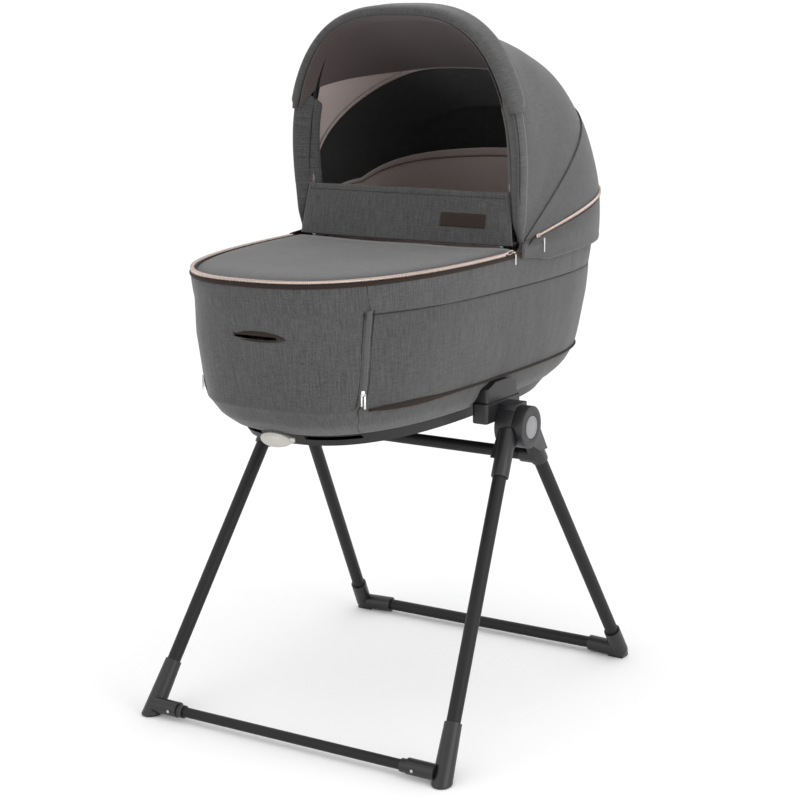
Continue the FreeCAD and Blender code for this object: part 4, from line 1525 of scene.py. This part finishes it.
# ---- operators: hard parts ----
class BASSINET_OT_stand(PieceOperator, bpy.types.Operator):
    """Finishes on the stand's tubes, hubs, feet and seats"""
    bl_idname = "bassinet.stand"
    bl_label = "Stand"

    def build(self):
        tones = finishes()
        tube = hard_material("Black powder coat", tones.tube, (0.04, 0.04, 0.042), roughness=0.50,
                             grain=1900.0, spread=0.1, wear=0.2, metallic=0.0, bump=0.22,
                             specular=0.3)
        plastic = black_plastic()
        steel = hard_material("Zinc steel", (0.55, 0.55, 0.56), (0.3, 0.3, 0.3), roughness=0.32,
                              grain=1500.0, spread=0.1, wear=0.3, metallic=1.0, bump=0.08)
        tray = hard_material("Tray plastic", (0.010, 0.010, 0.011), (0.03, 0.03, 0.03),
                             roughness=0.46, grain=900.0, spread=0.1, wear=0.25, metallic=0.0,
                             bump=0.3, specular=0.35)
        board = hard_material("Tub board", (0.05, 0.048, 0.045), (0.09, 0.09, 0.085),
                              roughness=0.7, grain=500.0)
        bodies = frame["record"]["behaviour"]["bodies"]
        owner = {node: body for body, nodes in bodies.items() for node in nodes}
        kinds = [
            (("hub", "adapter_seat", "rear_arm", "lug", "bar_connector"), plastic,
             "black_plastic", sizes().edge_round),
            (("front_boot", "rear_elbow"), plastic, "black_plastic", 0.0),
            (("base_tray",), tray, "tray_plastic", 0.0),
            (("backrest_board", "tub_wall", "tub_floor"), board, "tub_board", 0.0),
            (("hood_bow",), plastic, "steel", 0.0),
            (("bar_rivets", "pivot_pin", "backrest_hinge", "hood_hinge"), steel, "steel", 0.0),
            (("front_leg", "rear_leg", "front_bar", "rear_bar", "cross_bar"), tube,
             "black_tube", 0.0),
        ]
        for node in sorted(frame["nodes"]):
            for names, finish, slot, width in kinds:
                if node.startswith(names):
                    softened(node, finish, slot, owner[node], width)


class BASSINET_OT_controls(PieceOperator, bpy.types.Operator):
    """Fold buttons on the hubs and the oval recline knob"""
    bl_idname = "bassinet.controls"
    bl_label = "Buttons and knob"

    def build(self):
        grey = hard_material("Grey button plastic", (0.235, 0.232, 0.242), (0.3, 0.3, 0.31),
                             roughness=0.38, grain=1300.0, spread=0.08, wear=0.2)
        profile = [(0.0, 3.2), (7.0, 3.1), (13.2, 2.6), (14.4, 2.0), (15.0, 2.3), (16.4, 3.2),
                   (17.6, 3.0), (18.3, 2.2), (18.5, 1.0), (18.5, -1.0), (0.0, -1.0)]
        for side, node in ((-1, "fold_button_left"), (1, "fold_button_right")):
            low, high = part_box(node)
            face = (high.x if side > 0 else -low.x) * 1000
            centre = (side * (face - 3.2), 0.0, (low.z + high.z) * 500)
            shape(node + "_cap", lathe(profile, centre, (side, 0, 0)), grey, "grey_button",
                  node, node)

        silver = hard_material("Silver knob", finishes().knob, (0.62, 0.61, 0.56), roughness=0.33,
                               grain=1200.0, spread=0.1, wear=0.25, metallic=0.35, bump=0.06)
        centre_z = (KNOB_LOW.z + KNOB_HIGH.z) * 500
        front_y = (KNOB_LOW.y - HUB_Y) * 1000
        rings = [(0.0, 0.0), (0.45, 0.4), (0.72, 1.6), (0.80, 2.6), (0.84, 2.2), (0.94, 3.6),
                 (1.0, 7.0), (0.97, 12.0), (0.86, 15.0), (0.0, 15.2)]

        def at(u, v):
            size, back = rings[int(round(v * (len(rings) - 1)))]
            angle = 2 * math.pi * u
            x = 28.0 * size * math.cos(angle)
            z = 11.5 * size * math.sin(angle)
            curve = 4.0 * (x / 28.0) ** 2
            return x + 2.0, front_y + back + curve, centre_z + z

        knob = patch(64, len(rings) - 1, at)[0]
        shaft = lathe([(0.0, 0.0), (4.9, 0.0), (4.9, 140.0), (0.0, 140.0)],
                      (0, front_y + 12, centre_z), (0, 1, 0), 24)
        grip = block((8, 7, 8), (31, front_y + 10, centre_z + 2.0), None, 2.2, 3)
        shape("recline_knob_cap", joined(knob, shaft, grip), silver, "silver_knob",
              "recline_knob", "recline_knob")


class BASSINET_OT_stage(PieceOperator, bpy.types.Operator):
    """Pale floor, soft lights and the camera"""
    bl_idname = "bassinet.stage"
    bl_label = "Stage"

    def build(self):
        scene = bpy.context.scene
        floor = bmesh.new()
        bmesh.ops.create_grid(floor, x_segments=2, y_segments=2, size=30.0)
        bmesh.ops.translate(floor, vec=(0, 0, -0.0005), verts=floor.verts[:])
        material, shader, wires = start_material("Pale floor")
        shade = wires.noise(wires.source(by_place=True), 1.2, 2.0)
        wires.put(shader.inputs["Base Color"],
                  wires.mix(shade, (0.965, 0.965, 0.965, 1), (0.985, 0.985, 0.985, 1)))
        shader.inputs["Roughness"].default_value = 1.0
        shader.inputs["Specular IOR Level"].default_value = 0.0
        mesh = bpy.data.meshes.new("floor")
        floor.to_mesh(mesh)
        floor.free()
        ground = bpy.data.objects.new("floor", mesh)
        mesh.materials.append(material)
        scene.collection.objects.link(ground)

        world = bpy.data.worlds.new("Studio")
        scene.world = world
        world.use_nodes = True
        background = world.node_tree.nodes["Background"]
        background.inputs["Color"].default_value = (1.0, 1.0, 1.0, 1.0)
        background.inputs["Strength"].default_value = 1.05
        self.light("Key", (3.3, -0.8, 1.35), (0, 0, 0.7), 2.2, 34.0)
        self.light("Fill", (-1.2, -3.4, 1.5), (0, 0, 0.8), 2.2, 12.0)
        self.light("Top", (0.4, -1.2, 3.4), (0, 0, 0.5), 2.6, 5.0)
        scene.view_settings.view_transform = "Standard"

        camera = bpy.data.cameras.new("Camera")
        camera.lens = 80.36
        camera.sensor_width = 36.0
        camera.shift_x = 0.0011
        camera.shift_y = -0.0069
        viewer = bpy.data.objects.new("Camera", camera)
        viewer.location = (1.4874, -2.4781, 1.0875)
        target = Vector((0.0, HUB_Y, 0.5))
        viewer.rotation_euler = (target - viewer.location).to_track_quat("-Z", "Y").to_euler()
        scene.collection.objects.link(viewer)
        scene.camera = viewer

    @staticmethod
    def light(name, location, target, size, power):
        data = bpy.data.lights.new(name, "AREA")
        data.size = size
        data.energy = power
        lamp = bpy.data.objects.new(name, data)
        lamp.location = location
        way = Vector(target) - Vector(location)
        lamp.rotation_euler = way.to_track_quat("-Z", "Y").to_euler()
        bpy.context.scene.collection.objects.link(lamp)


STEPS = ("stage", "body", "trims", "rim_zip", "pulls", "apron", "flap", "hood", "hood_lining",
         "hood_zip", "inside", "stand", "controls")


class BASSINET_PT_panel(bpy.types.Panel):
    """Lists the pieces and the settings"""
    bl_idname = "BASSINET_PT_panel"
    bl_label = "Bassinet on stand"
    bl_space_type = "VIEW_3D"
    bl_region_type = "UI"
    bl_category = "Bassinet"

    def draw(self, context):
        for group in (context.scene.bassinet_sizes, context.scene.bassinet_finishes):
            for key in group.bl_rna.properties.keys():
                if key not in ("rna_type", "name"):
                    self.layout.prop(group, key)
        for step in STEPS:
            self.layout.operator("bassinet." + step)


CLASSES = (
    BASSINET_PG_finishes, BASSINET_PG_sizes, BASSINET_OT_stage, BASSINET_OT_body,
    BASSINET_OT_trims, BASSINET_OT_rim_zip, BASSINET_OT_pulls, BASSINET_OT_apron,
    BASSINET_OT_flap, BASSINET_OT_hood, BASSINET_OT_hood_lining, BASSINET_OT_hood_zip,
    BASSINET_OT_inside, BASSINET_OT_stand, BASSINET_OT_controls, BASSINET_PT_panel,
)


def register():
    for one in CLASSES:
        bpy.utils.register_class(one)
    bpy.types.Scene.bassinet_finishes = PointerProperty(type=BASSINET_PG_finishes)
    bpy.types.Scene.bassinet_sizes = PointerProperty(type=BASSINET_PG_sizes)


def unregister():
    del bpy.types.Scene.bassinet_sizes
    del bpy.types.Scene.bassinet_finishes
    for one in reversed(CLASSES):
        bpy.utils.unregister_class(one)


def main():
    register()
    for step in STEPS:
        getattr(bpy.ops.bassinet, step)()
    bpy.context.view_layer.update()


if __name__ == "__main__":
    main()
